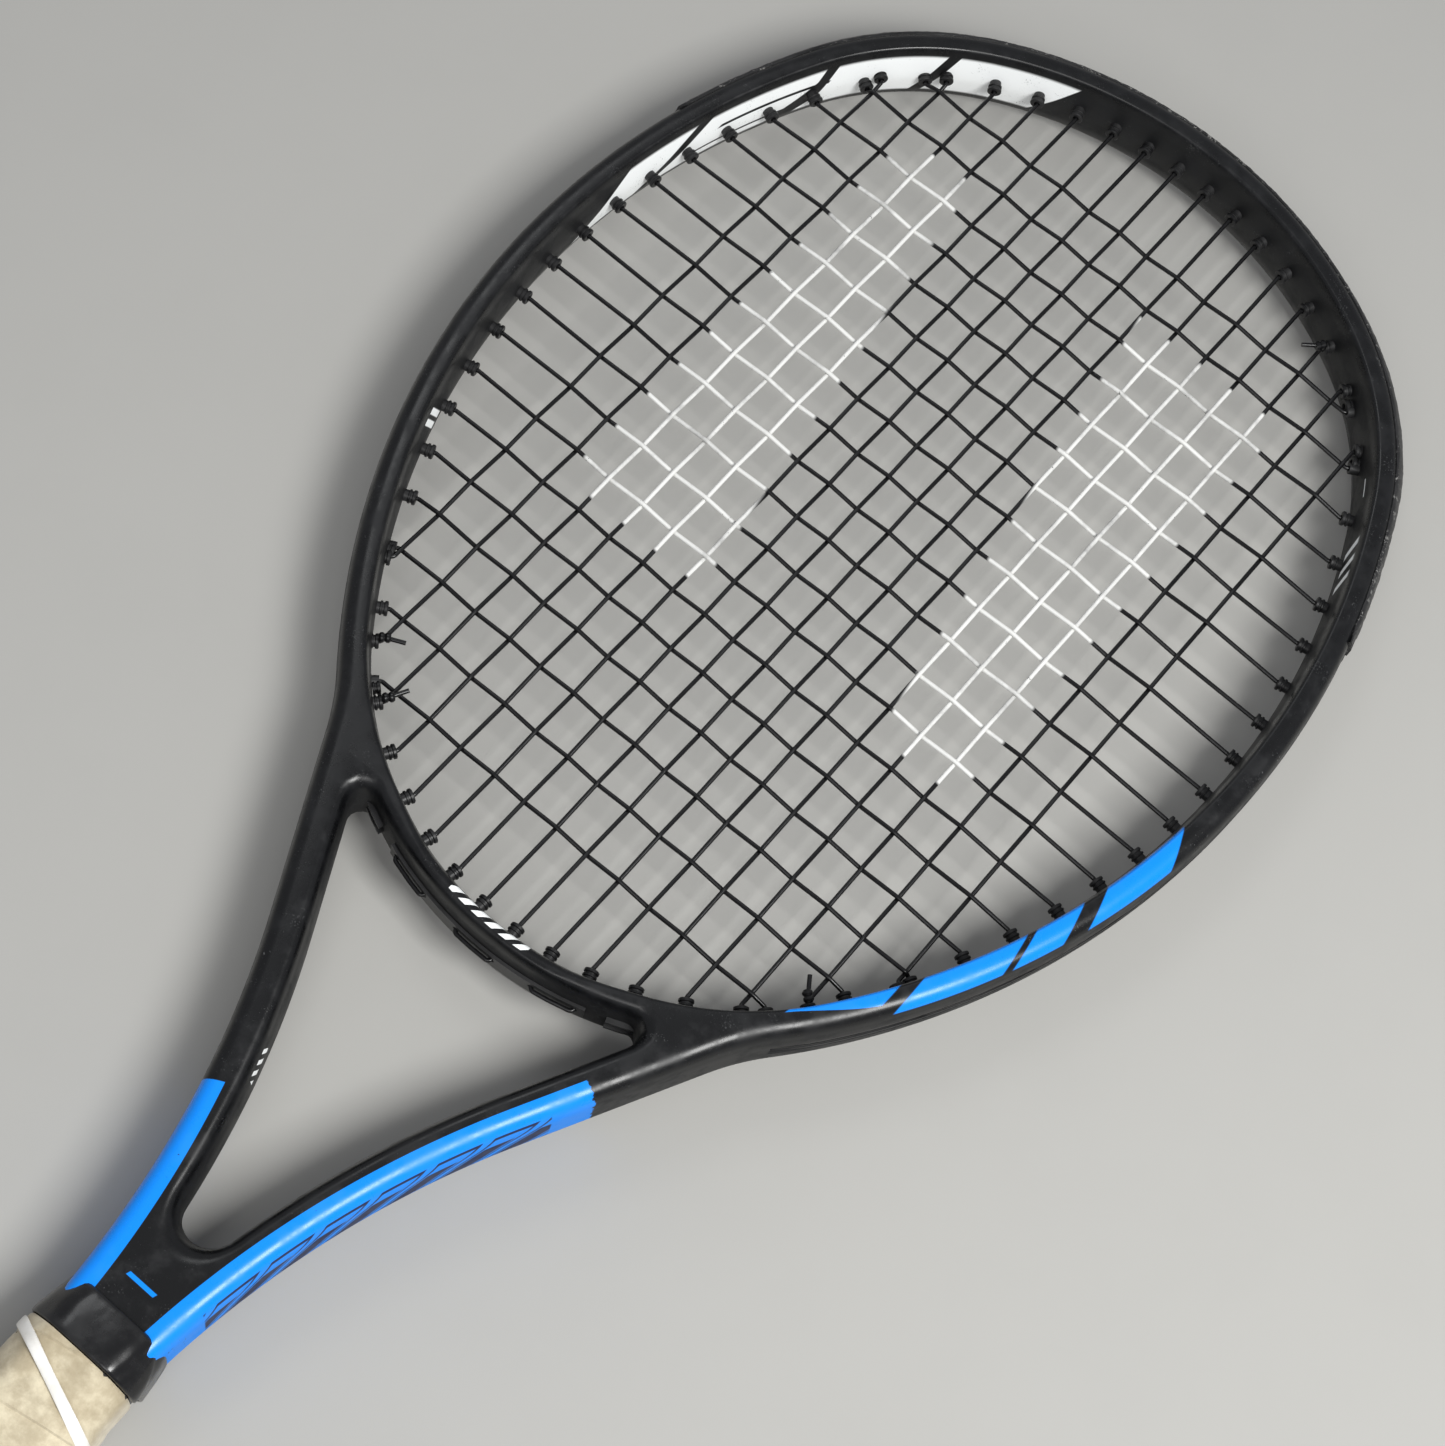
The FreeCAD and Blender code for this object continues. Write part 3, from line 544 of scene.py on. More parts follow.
@dataclass
class FrameShell:
    """The painted moulding: hoop, bridge, shafts and neck as one smooth closed skin."""

    line: HeadLine
    step: float = 1.5
    groove_half: float = 2.8
    groove_depth: float = 2.7
    shaft_crest: float = 7.1
    shaft_crest_top: float = 6.2
    core_half: tuple[float, float] = (10.6, 8.8)
    outer_profile: tuple = ((4.9, 12.0), (4.2, 11.95), (3.3, 11.75), (2.4, 11.3), (1.6, 10.65),
                            (0.95, 9.75), (0.5, 8.6), (0.2, 7.2), (0.05, 5.6), (0.0, 3.6))
    head_profile: tuple = ((2.6, 12.0), (2.2, 11.92), (1.85, 11.68), (1.6, 11.3), (1.4, 10.8),
                           (1.1, 9.6), (0.75, 7.6), (0.4, 5.0), (0.1, 2.4), (0.0, 0.8))
    throat_profile: tuple = ((4.0, 12.0), (3.3, 11.9), (2.6, 11.55), (1.9, 10.9), (1.3, 10.0),
                             (0.8, 8.7), (0.4, 7.0), (0.12, 4.8), (0.0, 2.4))

    def arc(self, centre: Vector, radius: float, first: float, last: float, side: int) -> list[tuple]:
        """Points along an arc and the way from its centre, without the last one.

        Args:
            centre: Centre of the arc.
            radius: Its radius, negative where the points lie on the far side.
            first: Plane angle of the first point.
            last: Plane angle where the arc ends.
            side: 1 where the way out leads from the centre, -1 where it leads to it.

        Returns:
            Pairs of place and way out.
        """
        count = max(3, round(abs(math.radians(last - first) * radius) / self.step))
        found = []
        for k in range(count):
            way = plane_normal(first + (last - first) * k / count)
            found.append((centre + way * radius, way * side))
        return found

    def straight(self, start: Vector, end: Vector, out: Vector) -> list[tuple]:
        """Points along a straight stretch, without the last one."""
        count = max(1, round((end - start).length / self.step))
        return [(start.lerp(end, k / count), out) for k in range(count)]

    @staticmethod
    def closed(right: list[Station]) -> list[Station]:
        """Adds the left side to the stations of the right side.

        Args:
            right: Stations of the right side.

        Returns:
            Stations all the way round.
        """
        left = []
        for one in reversed(right):
            if one.place.x > 1e-6:
                flip = Vector((-one.place.x, one.place.y)), Vector((-one.out.x, one.out.y))
                left.append(Station(*flip, one.bevel, one.groove, one.crest))
        return right + left

    def outer(self) -> list[Station]:
        """Outside of the moulding, from the right of the neck round the tip and back."""
        line = self.line
        centre, radius = line.neck_centre, line.neck_radius
        start = 90 + math.degrees(math.asin((line.neck_y - centre.y) / radius))
        turned = 90 + line.tilt
        flat = plane_normal(turned)
        crook_centre = (line.centres[2] + plane_normal(line.leave_angle)
                        * (line.radii[2] + line.outer_wall + line.crook_radius))
        shaft_top = crook_centre - flat * line.crook_radius
        pairs = self.arc(centre, -radius, start, turned, 1)
        pairs += self.straight(line.shaft_foot, shaft_top, flat)
        pairs += self.arc(crook_centre, -line.crook_radius, turned, line.leave_angle, 1)
        on_shaft = len(pairs)
        limits = line.limits
        pairs += self.arc(line.centres[2], line.radii[2] + line.outer_wall, line.leave_angle, limits[2], 1)
        pairs += self.arc(line.centres[1], line.radii[1] + line.outer_wall, limits[2], limits[1], 1)
        pairs += self.arc(line.centres[0], line.radii[0] + line.outer_wall, limits[1], 0.0, 1)
        pairs.append((Vector((0.0, line.tip_y + line.outer_wall)), Vector((0.0, 1.0))))
        right = []
        for k, (place, out) in enumerate(pairs):
            rise = smooth_step(place.y, line.neck_y, line.shaft_foot.y)
            crest = self.shaft_crest + (self.shaft_crest_top - self.shaft_crest) * rise
            crest += (5.2 - crest) * smooth_step(place.y, 10.0, 45.0)
            right.append(Station(place, out, groove=0.0 if k < on_shaft else 1.0, crest=crest))
        return self.closed(right)

    def head(self) -> list[Station]:
        """Inside of the head, whose bevel is wider on the bridge."""
        line = self.line
        right = []
        for k in range(4):
            radius = line.all_radii[k] - line.inner_wall
            for place, out in self.arc(line.centres[k], radius, line.limits[k], line.limits[k + 1], -1):
                angle = math.degrees(math.atan2(-out.x, -out.y))
                right.append(Station(place, out, bevel=1 + 0.77 * smooth_step(angle, 155.0, 168.0)))
        bottom = line.centres[3] - Vector((0.0, line.all_radii[3] - line.inner_wall))
        right.append(Station(bottom, Vector((0.0, 1.0)), bevel=1.77))
        return self.closed(right)

    def throat(self) -> list[Station]:
        """Opening between the bridge and the shafts, with scooped corners and crotch."""
        line = self.line
        flat, along = -plane_normal(90 + line.tilt), plane_normal(line.tilt)
        bridge_radius = line.all_radii[3] + line.bridge_outer
        foot = line.shaft_foot + flat * (line.shaft_width + line.corner_radius)
        gap = foot - line.centres[3]
        half_b = gap.dot(along)
        constant = gap.dot(gap) - (bridge_radius + line.corner_radius) ** 2
        corner = foot + along * (-half_b - math.sqrt(half_b ** 2 - constant))
        bridge_angle = math.degrees(math.atan2(corner.x, corner.y - line.centres[3].y))
        inner_neck = line.neck_radius + line.shaft_width
        neck = line.neck_centre
        crotch_y = neck.y + math.sqrt((inner_neck + line.crotch_radius) ** 2 - neck.x ** 2)
        crotch_angle = math.degrees(math.atan2(neck.x, neck.y - crotch_y))
        right = [Station(p, o, bevel=0.55 + 0.25 * smooth_step(p.x, 20.0, 31.0))
                 for p, o in self.arc(line.centres[3], bridge_radius, 180.0, bridge_angle, 1)]
        turn = self.arc(corner, line.corner_radius, bridge_angle - 180, 90 + line.tilt, -1)
        right += [Station(p, o, bevel=0.8 + 0.5 * math.sin(math.pi * k / len(turn)))
                  for k, (p, o) in enumerate(turn)]
        corner_end = corner + plane_normal(90 + line.tilt) * line.corner_radius
        neck_start = neck - plane_normal(90 + line.tilt) * inner_neck
        right += [Station(p, o) for p, o in self.straight(corner_end, neck_start, flat)]
        right += [Station(p, o) for p, o in self.arc(neck, -inner_neck, 90 + line.tilt, crotch_angle, -1)]
        crotch = Vector((0.0, crotch_y))
        turn = self.arc(crotch, line.crotch_radius, crotch_angle, 180.0, -1)
        right += [Station(p, o, bevel=1 + 0.95 * smooth_step(k / len(turn), 0.1, 1.0))
                  for k, (p, o) in enumerate(turn)]
        right.append(Station(crotch - Vector((0.0, line.crotch_radius)), Vector((0.0, 1.0)), bevel=1.95))
        return self.closed(right)

    def section(self, wall: Wall, station: Station) -> list[tuple[float, float, float]]:
        """Half of a wall's section: inset, height over the string plane, and place across the top.

        Args:
            wall: Which outline it is.
            station: The place on that outline.

        Returns:
            Inset, height and place across for each row.
        """
        if wall is Wall.HEAD:
            return [(inset * station.bevel, z, 2.0) for inset, z in self.head_profile]
        if wall is Wall.THROAT:
            return [(inset * station.bevel, z, 2.0) for inset, z in self.throat_profile]
        rows = [(station.crest, self.line.half_beam, 1.0)]
        rows += [(inset, z, inset / station.crest) for inset, z in self.outer_profile]
        rows += [(0.0, self.groove_half, 0.0), (self.groove_depth * station.groove, self.groove_half, 0.0)]
        return rows

    def ring(self, mesh: bmesh.types.BMesh, wall: Wall, stations: list[Station],
             across: object) -> list[list]:
        """Adds one wall from its upper crest to its lower one.

        Args:
            mesh: The mesh that grows.
            wall: Which outline it is.
            stations: The outline's places in order.
            across: Layer that holds each point's place across the top.

        Returns:
            Columns of vertices, from the upper crest down.
        """
        columns = []
        for station in stations:
            half = self.section(wall, station)
            rows = half + [(inset, -z, share) for inset, z, share in reversed(half)]
            column = []
            for inset, z, share in rows:
                spot = station.place - station.out * inset
                vertex = mesh.verts.new((spot.x * MM, spot.y * MM, (self.line.string_z + z) * MM))
                vertex[across] = share
                column.append(vertex)
            columns.append(column)
        for k, column in enumerate(columns):
            following = columns[(k + 1) % len(columns)]
            for j in range(len(column) - 1):
                mesh.faces.new((column[j], following[j], following[j + 1], column[j + 1]))
        return columns

    def core(self, mesh: bmesh.types.BMesh, butt_y: float) -> None:
        """Adds the bar inside the handle, from the butt to just inside the neck.

        Args:
            mesh: The mesh that grows.
            butt_y: Where the bar ends, in millimetres.
        """
        top = self.line.neck_y + 3.0
        made = bmesh.ops.create_cube(mesh, size=1.0)["verts"]
        for vertex in made:
            vertex.co = Vector((2 * self.core_half[0] * vertex.co.x * MM,
                                ((top + butt_y) / 2 + (top - butt_y) * vertex.co.y) * MM,
                                (self.line.string_z + 2 * self.core_half[1] * vertex.co.z) * MM))
        edges = {edge for vertex in made for edge in vertex.link_edges}
        bmesh.ops.bevel(mesh, geom=list(edges), offset=1.0 * MM, segments=3, profile=0.5, affect="EDGES")

    def build(self, butt_y: float) -> bpy.types.Object:
        """Builds the whole skin, with the bar that carries the handle down to the butt.

        Args:
            butt_y: Where the bar ends, in millimetres.

        Returns:
            The painted frame.
        """
        mesh = bmesh.new()
        across = mesh.verts.layers.float.new("across")
        walls = [(Wall.OUTER, self.outer()), (Wall.HEAD, self.head()), (Wall.THROAT, self.throat())]
        rings = [self.ring(mesh, wall, stations, across) for wall, stations in walls]
        for level in (0, -1):
            loops = [[column[level] for column in ring] for ring in rings]
            flat = [vertex for loop in loops for vertex in loop]
            for corners in geometry.tessellate_polygon([[v.co for v in loop] for loop in loops]):
                mesh.faces.new([flat[k] for k in corners])
        bmesh.ops.remove_doubles(mesh, verts=mesh.verts, dist=1e-6)
        bmesh.ops.dissolve_degenerate(mesh, edges=mesh.edges, dist=1e-7)
        self.core(mesh, butt_y)
        return mesh_object("painted_frame", mesh, 38.0)


@dataclass
class BumperSkin:
    """Rough skin of the bumper, whose wings lie over the outer slopes round the head."""

    line: HeadLine
    end_angle: float
    step: float = 0.8
    taper: float = 1.6
    shoulder: float = 0.85
    outside: tuple = ((-1.35, 10.75), (-0.7, 10.6), (-0.15, 10.05), (0.3, 9.2), (0.7, 8.2), (1.02, 7.1),
                      (1.28, 5.9), (1.42, 4.4), (1.5, 2.6), (1.52, 0.9))
    inside: tuple = ((-2.2, 9.6), (-0.9, 7.6), (0.15, 5.0), (0.7, 2.0))

    def stations(self) -> list[Station]:
        """Places along the outside of the head between the bumper's ends, from right to left."""
        found = []
        for one in FrameShell(self.line, step=self.step).outer():
            angle = abs(math.degrees(math.atan2(one.out.x, one.out.y)))
            if one.groove and angle < self.end_angle:
                one.bevel = smooth_step(self.end_angle - angle, 0.0, self.taper)
                thick = smooth_step(angle, 8.0, 34.0) * (1 - smooth_step(angle, 56.0, self.end_angle))
                one.swell = 1 + self.shoulder * thick
                found.append(one)
        return found

    def build(self) -> bpy.types.Object:
        """Sweeps the skin's section along the head and scrapes its surface."""
        upper = [(out, z, 1.0) for out, z in self.outside]
        ring = upper + [(out, -z, 1.0) for out, z, _ in reversed(upper)]
        under = [(out, z, 0.0) for out, z in self.inside]
        ring += [(out, -z, 0.0) for out, z, _ in under] + list(reversed(under))
        mesh = bmesh.new()
        columns = []
        for station in self.stations():
            column = []
            for out, z, rough in ring:
                flat = station.place + station.out * out
                place = Vector((flat.x * MM, flat.y * MM, z * MM))
                scraped = rough * (0.16 * uneven(place, 2.6, 1.0) + 0.14 * uneven(place, 1.2, 4.0)
                                   - 0.10 * max(0.0, uneven(place, 14.0, 8.0)))
                proud = out * (0.45 + 0.55 * station.bevel) * (station.swell if out > 0 and rough else 1.0)
                spot = station.place + station.out * (proud + scraped)
                column.append(mesh.verts.new((spot.x * MM, spot.y * MM, (self.line.string_z + z) * MM)))
            columns.append(column)
        for column, following in zip(columns, columns[1:]):
            for j, vertex in enumerate(column):
                ahead = (j + 1) % len(column)
                mesh.faces.new((vertex, following[j], following[ahead], column[ahead]))
        for column in (columns[0], columns[-1]):
            mesh.faces.new(column)
        return mesh_object("scuffed_bumper", mesh, 42.0)


@dataclass
class BarrelRims:
    """Moulded rims at the mouth of every grommet barrel."""

    line: HeadLine
    profile: tuple = ((1.0, -0.2), (1.95, -0.2), (2.2, 0.02), (2.2, 0.7), (2.05, 0.85), (1.7, 0.9),
                      (1.7, 1.35), (2.0, 1.4), (2.12, 1.52), (2.12, 1.95), (2.0, 2.08), (1.6, 2.12),
                      (1.0, 2.12))
    around: int = 20

    def depth(self, place: Vector) -> float:
        """How far a point lies inside the hoop's inner wall, in millimetres.

        Args:
            place: The point, in millimetres.

        Returns:
            The distance, positive inside the head.
        """
        x, y = abs(place.x), place.y
        best = 1e9
        for k, (centre, radius) in enumerate(zip(self.line.centres, self.line.all_radii)):
            angle = math.degrees(math.atan2(x - centre.x, y - centre.y))
            if self.line.limits[k] - 0.5 <= angle <= self.line.limits[k + 1] + 0.5:
                far = (Vector((x, y)) - centre).length - radius
                best = far if abs(far) < abs(best) else best
        return -best - self.line.inner_wall

    def mouths(self, nodes: Sequence[str]) -> list[list[Vector]]:
        """Rims of the barrels on the frame's strips, as groups of points.

        Args:
            nodes: Names of the strips.

        Returns:
            One list of points for each barrel.
        """
        groups: list[list[Vector]] = []
        for node in nodes:
            piece = bpy.data.objects[node]
            for vertex in piece.data.vertices:
                place = (piece.matrix_world @ vertex.co) / MM
                if self.depth(place) < 1.2 or abs(place.z - self.line.string_z) > 4:
                    continue
                near = next((g for g in groups if (g[0] - place).length < 3.9), None)
                if near is None:
                    groups.append([place])
                else:
                    near.append(place)
        return [group for group in groups if len(group) > 8]

    def build(self, nodes: Sequence[str]) -> bpy.types.Object:
        """Builds all the rims as one piece.

        Args:
            nodes: Names of the strips.

        Returns:
            The rims.
        """
        mesh = bmesh.new()
        for group in self.mouths(nodes):
            low = Vector([min(p[k] for p in group) for k in range(3)])
            high = Vector([max(p[k] for p in group) for k in range(3)])
            middle = (low + high) / 2
            first = max(group, key=lambda p: (p - middle).length) - middle
            second = max(group, key=lambda p: first.cross(p - middle).length) - middle
            axis = first.cross(second).normalized()
            inward = Vector((-middle.x, self.line.tip_y - 180 - middle.y, 0))
            axis = -axis if axis.dot(inward) > 0 else axis
            side = axis.orthogonal().normalized()
            up = axis.cross(side)
            turns = [math.tau * k / self.around for k in range(self.around)]
            rows = []
            for radius, along in self.profile:
                rows.append([mesh.verts.new((middle + axis * along + radius * (
                    side * math.cos(turn) + up * math.sin(turn))) * MM) for turn in turns])
            for k, row in enumerate(rows):
                following = rows[(k + 1) % len(rows)]
                for j in range(self.around):
                    ahead = (j + 1) % self.around
                    mesh.faces.new((row[j], row[ahead], following[ahead], following[j]))
        return mesh_object("barrel_rims", mesh, 35.0)


@dataclass(frozen=True)
class Octagon:
    """Section across the handle: half width, half height and distance of the slanted flats."""

    width: float
    height: float
    slant: float
    softness: float = 16.0

    def grown(self, by: float) -> "Octagon":
        """The section with all its flats further out."""
        return Octagon(self.width + by, self.height + by, self.slant + by, self.softness)

    def blended(self, other: "Octagon", share: float) -> "Octagon":
        """A section between this one and another."""
        pairs = zip((self.width, self.height, self.slant, self.softness),
                    (other.width, other.height, other.slant, other.softness))
        return Octagon(*[a + (b - a) * share for a, b in pairs])

    def radius(self, angle: float) -> float:
        """Distance of the softened outline from the axis at an angle in radians.

        Args:
            angle: Angle round the axis.

        Returns:
            The distance in millimetres.
        """
        flats = (self.width, self.slant, self.height, self.slant) * 2
        total = 0.0
        for k, far in enumerate(flats):
            facing = math.cos(angle - k * math.pi / 4)
            if facing > 0:
                total += (facing / far) ** self.softness
        return total ** (-1 / self.softness)


@dataclass
class Handle:
    """Wraps, collar and band."""

    grip: Octagon
    root: Octagon
    collar_low: Octagon
    collar_high: Octagon
    string_z: float
    wrap_low: float
    wrap_high: float
    collar_span: tuple[float, float]
    band_y: float
    band_tilt: float
    pitch: float = 19.0
    overlap: float = 4.5
    columns: int = 144
    wall: float = 0.85
    flap_at: float = 0.42

    def spot(self, y: float, angle: float, radius: float) -> Vector:
        """Point in metres at a place along the handle, an angle and a distance from the axis."""
        z = self.string_z + radius * math.sin(angle)
        return Vector((radius * math.cos(angle) * MM, y * MM, z * MM))

    def tube(self, name: str, rows: list[list[Vector]], sharp: float = 50.0) -> bpy.types.Object:
        """Closed ring of skin through rows of points that run round the section and back.

        Args:
            name: Name of the piece.
            rows: Rows of points.
            sharp: Edges that turn by more than this many degrees stay sharp.

        Returns:
            The new piece.
        """
        mesh = bmesh.new()
        grid = [[mesh.verts.new(point) for point in row] for row in rows]
        for k, row in enumerate(grid):
            following = grid[(k + 1) % len(grid)]
            for j, vertex in enumerate(row):
                ahead = (j + 1) % len(row)
                mesh.faces.new((vertex, row[ahead], following[ahead], following[j]))
        return mesh_object(name, mesh, sharp)

    def under_wrap(self, y: float) -> Octagon:
        """Section under the outer wrap, which flares towards the butt."""
        return self.grip.blended(self.root, 1 - smooth_step(y, self.wrap_low - 4, self.wrap_low + 30))

    def wrap_height(self, y: float, angle: float) -> float:
        """Thickness that the spiral's overlap, folds and hand wear add, in millimetres.

        Args:
            y: Place along the handle.
            angle: Angle round the handle.

        Returns:
            The added thickness.
        """
        turn = ((y - self.wrap_low) / self.pitch + angle / math.tau) % 1.0
        share = turn * self.pitch / self.overlap
        lap = 0.62 * (1 - smooth_step(share, 0.75, 1.5)) if share < 1.5 else 0.0
        lap *= smooth_step(turn * self.pitch, 0.0, 0.35)
        place = self.spot(y, angle, self.grip.width)
        folds = 0.10 * uneven(place, 9.0, 3.1) + 0.05 * uneven(place, 3.0, 7.7)
        crease = 0.22 * max(0.0, 1 - abs(uneven(Vector((place.x, place.y * 2.6, place.z)), 16.0, 1.3)) * 9)
        return lap + folds - crease * smooth_step(uneven(place, 30.0, 5.0), 0.0, 0.4)

    def overgrip(self) -> bpy.types.Object:
        """Spiral wrap whose rows follow the wrap's edge."""
        mesh = bmesh.new()
        made: dict[tuple[int, int], bmesh.types.BMVert] = {}
        per_turn = 34
        rise = self.pitch / per_turn

        def outside(row: int, column: int) -> bmesh.types.BMVert:
            """Vertex on the outside, kept between the wrap's two ends.

            Args:
                row: Row of the spiral.
                column: Column round the grip.

            Returns:
                The vertex.
            """
            angle = math.tau * column / self.columns
            y = self.wrap_low + rise * row - self.pitch * column / self.columns
            y = min(self.wrap_high, max(self.wrap_low, y))
            column %= self.columns
            key = (column, round(y * 1e4))
            if key not in made:
                end = min(y - self.wrap_low, self.wrap_high - y)
                height = self.wrap_height(y, angle % math.tau) - 0.35 * (1 - smooth_step(end, 0.0, 0.8))
                radius = self.under_wrap(y).radius(angle) + self.wall + height
                made[key] = mesh.verts.new(self.spot(y, angle, radius))
            return made[key]

        rows = math.ceil((self.wrap_high - self.wrap_low) / rise) + per_turn + 1
        for row in range(rows):
            for column in range(self.columns):
                corners = [outside(row, column), outside(row, column + 1),
                           outside(row + 1, column + 1), outside(row + 1, column)]
                unique = [v for k, v in enumerate(corners) if v not in corners[:k]]
                if len(unique) > 2 and not mesh.faces.get(unique):
                    mesh.faces.new(unique)
        self.close_wrap(mesh, made)
        return mesh_object("outer_wrap", mesh, 42.0)

    def close_wrap(self, mesh: bmesh.types.BMesh, made: dict) -> None:
        """Adds the wrap's two ends and its inside, so that it is a closed sleeve.

        Args:
            mesh: The wrap's mesh.
            made: Its outside vertices by column and place.
        """
        inner = []
        for y in (self.wrap_low, self.wrap_high):
            section = self.under_wrap(y)
            inner.append([mesh.verts.new(self.spot(y, math.tau * c / self.columns,
                                                   section.radius(math.tau * c / self.columns) - 0.02))
                          for c in range(self.columns)])
            outer = [made[(c, round(y * 1e4))] for c in range(self.columns)]
            for c in range(self.columns):
                ahead = (c + 1) % self.columns
                mesh.faces.new((outer[c], outer[ahead], inner[-1][ahead], inner[-1][c]))
        middle = []
        for share in (0.1, 0.2, 0.35):
            y = self.wrap_low + (self.wrap_high - self.wrap_low) * share
            section = self.under_wrap(y)
            middle.append([mesh.verts.new(self.spot(y, math.tau * c / self.columns,
                                                    section.radius(math.tau * c / self.columns) - 0.02))
                           for c in range(self.columns)])
        loops = [inner[0], *middle, inner[1]]
        for lower, upper in zip(loops, loops[1:]):
            for c in range(self.columns):
                ahead = (c + 1) % self.columns
                mesh.faces.new((lower[c], lower[ahead], upper[ahead], upper[c]))

    def collar(self) -> bpy.types.Object:
        """Stretched rubber collar with a soft bulge, rolled edges and a few creases."""
        low, high = self.collar_span
        wall, rows = 1.1, []
        profile = [(0.0, 0.0), (0.0, 0.35), (0.02, 0.75), (0.06, 0.98)]
        profile += [(k / 14, 1.0) for k in range(1, 14)]
        profile += [(0.94, 0.98), (0.98, 0.75), (1.0, 0.35), (1.0, 0.0), (0.5, 0.0)]
        for along, thick in profile:
            row = []
            for column in range(self.columns):
                angle = math.tau * column / self.columns
                section = self.collar_low.blended(self.collar_high, along)
                y = low + (high - low) * along
                place = self.spot(y, angle, section.width)
                dents = 0.14 * uneven(place, 7.0, 2.2) + 0.06 * uneven(place, 2.6, 9.0)
                turned = math.atan2(math.sin(angle), math.cos(angle))
                edge = turned - self.flap_at - 0.45 * (along - 0.5)
                lap = 0.5 * smooth_step(edge, -0.03, 0.03) * (1 - smooth_step(edge, 0.1, 1.6))
                fold = 0.3 * max(0.0, 1 - abs(turned - 0.95 + 0.3 * along) * 9)
                torn = 2.0 * smooth_step(turned, -1.6, -1.3) * (1 - smooth_step(edge, -0.05, 0.0))
                torn *= 1 - along
                bulge = 0.25 * math.sin(math.pi * along)
                out = wall - 0.25 + bulge + lap + dents - fold
                radius = section.radius(angle) + thick * out
                ripple = 0.10 * uneven(place, 6.0, 4.0) * thick
                row.append(self.spot(y + torn + ripple, angle, radius))
            rows.append(row)
        return self.tube("stretched_collar", rows, 60.0)

    def band(self, width: float, thickness: float, gap: float) -> bpy.types.Object:
        """Flat elastic band that goes slantwise round the grip.

        Args:
            width: Width of the band.
            thickness: Its thickness.
            gap: Distance from the wrap.

        Returns:
            The band.
        """
        around = self.grip.grown(self.wall + gap)
        section = [(-0.5, 0.12), (-0.42, 0.0), (0.42, 0.0), (0.5, 0.12), (0.5, 0.7), (0.42, 0.92),
                   (0.2, 1.0), (-0.2, 1.0), (-0.42, 0.92), (-0.5, 0.7)]
        rows = []
        slope = math.tan(math.radians(self.band_tilt))
        for side, out in section:
            row = []
            for column in range(self.columns):
                angle = math.tau * column / self.columns
                radius = around.radius(angle)
                centre = self.band_y - slope * radius * math.cos(angle)
                narrow = 1 + 0.06 * math.sin(3 * angle)
                row.append(self.spot(centre + side * width * narrow, angle, radius + out * thickness))
            rows.append(row)
        return self.tube("elastic_band", rows, 40.0)


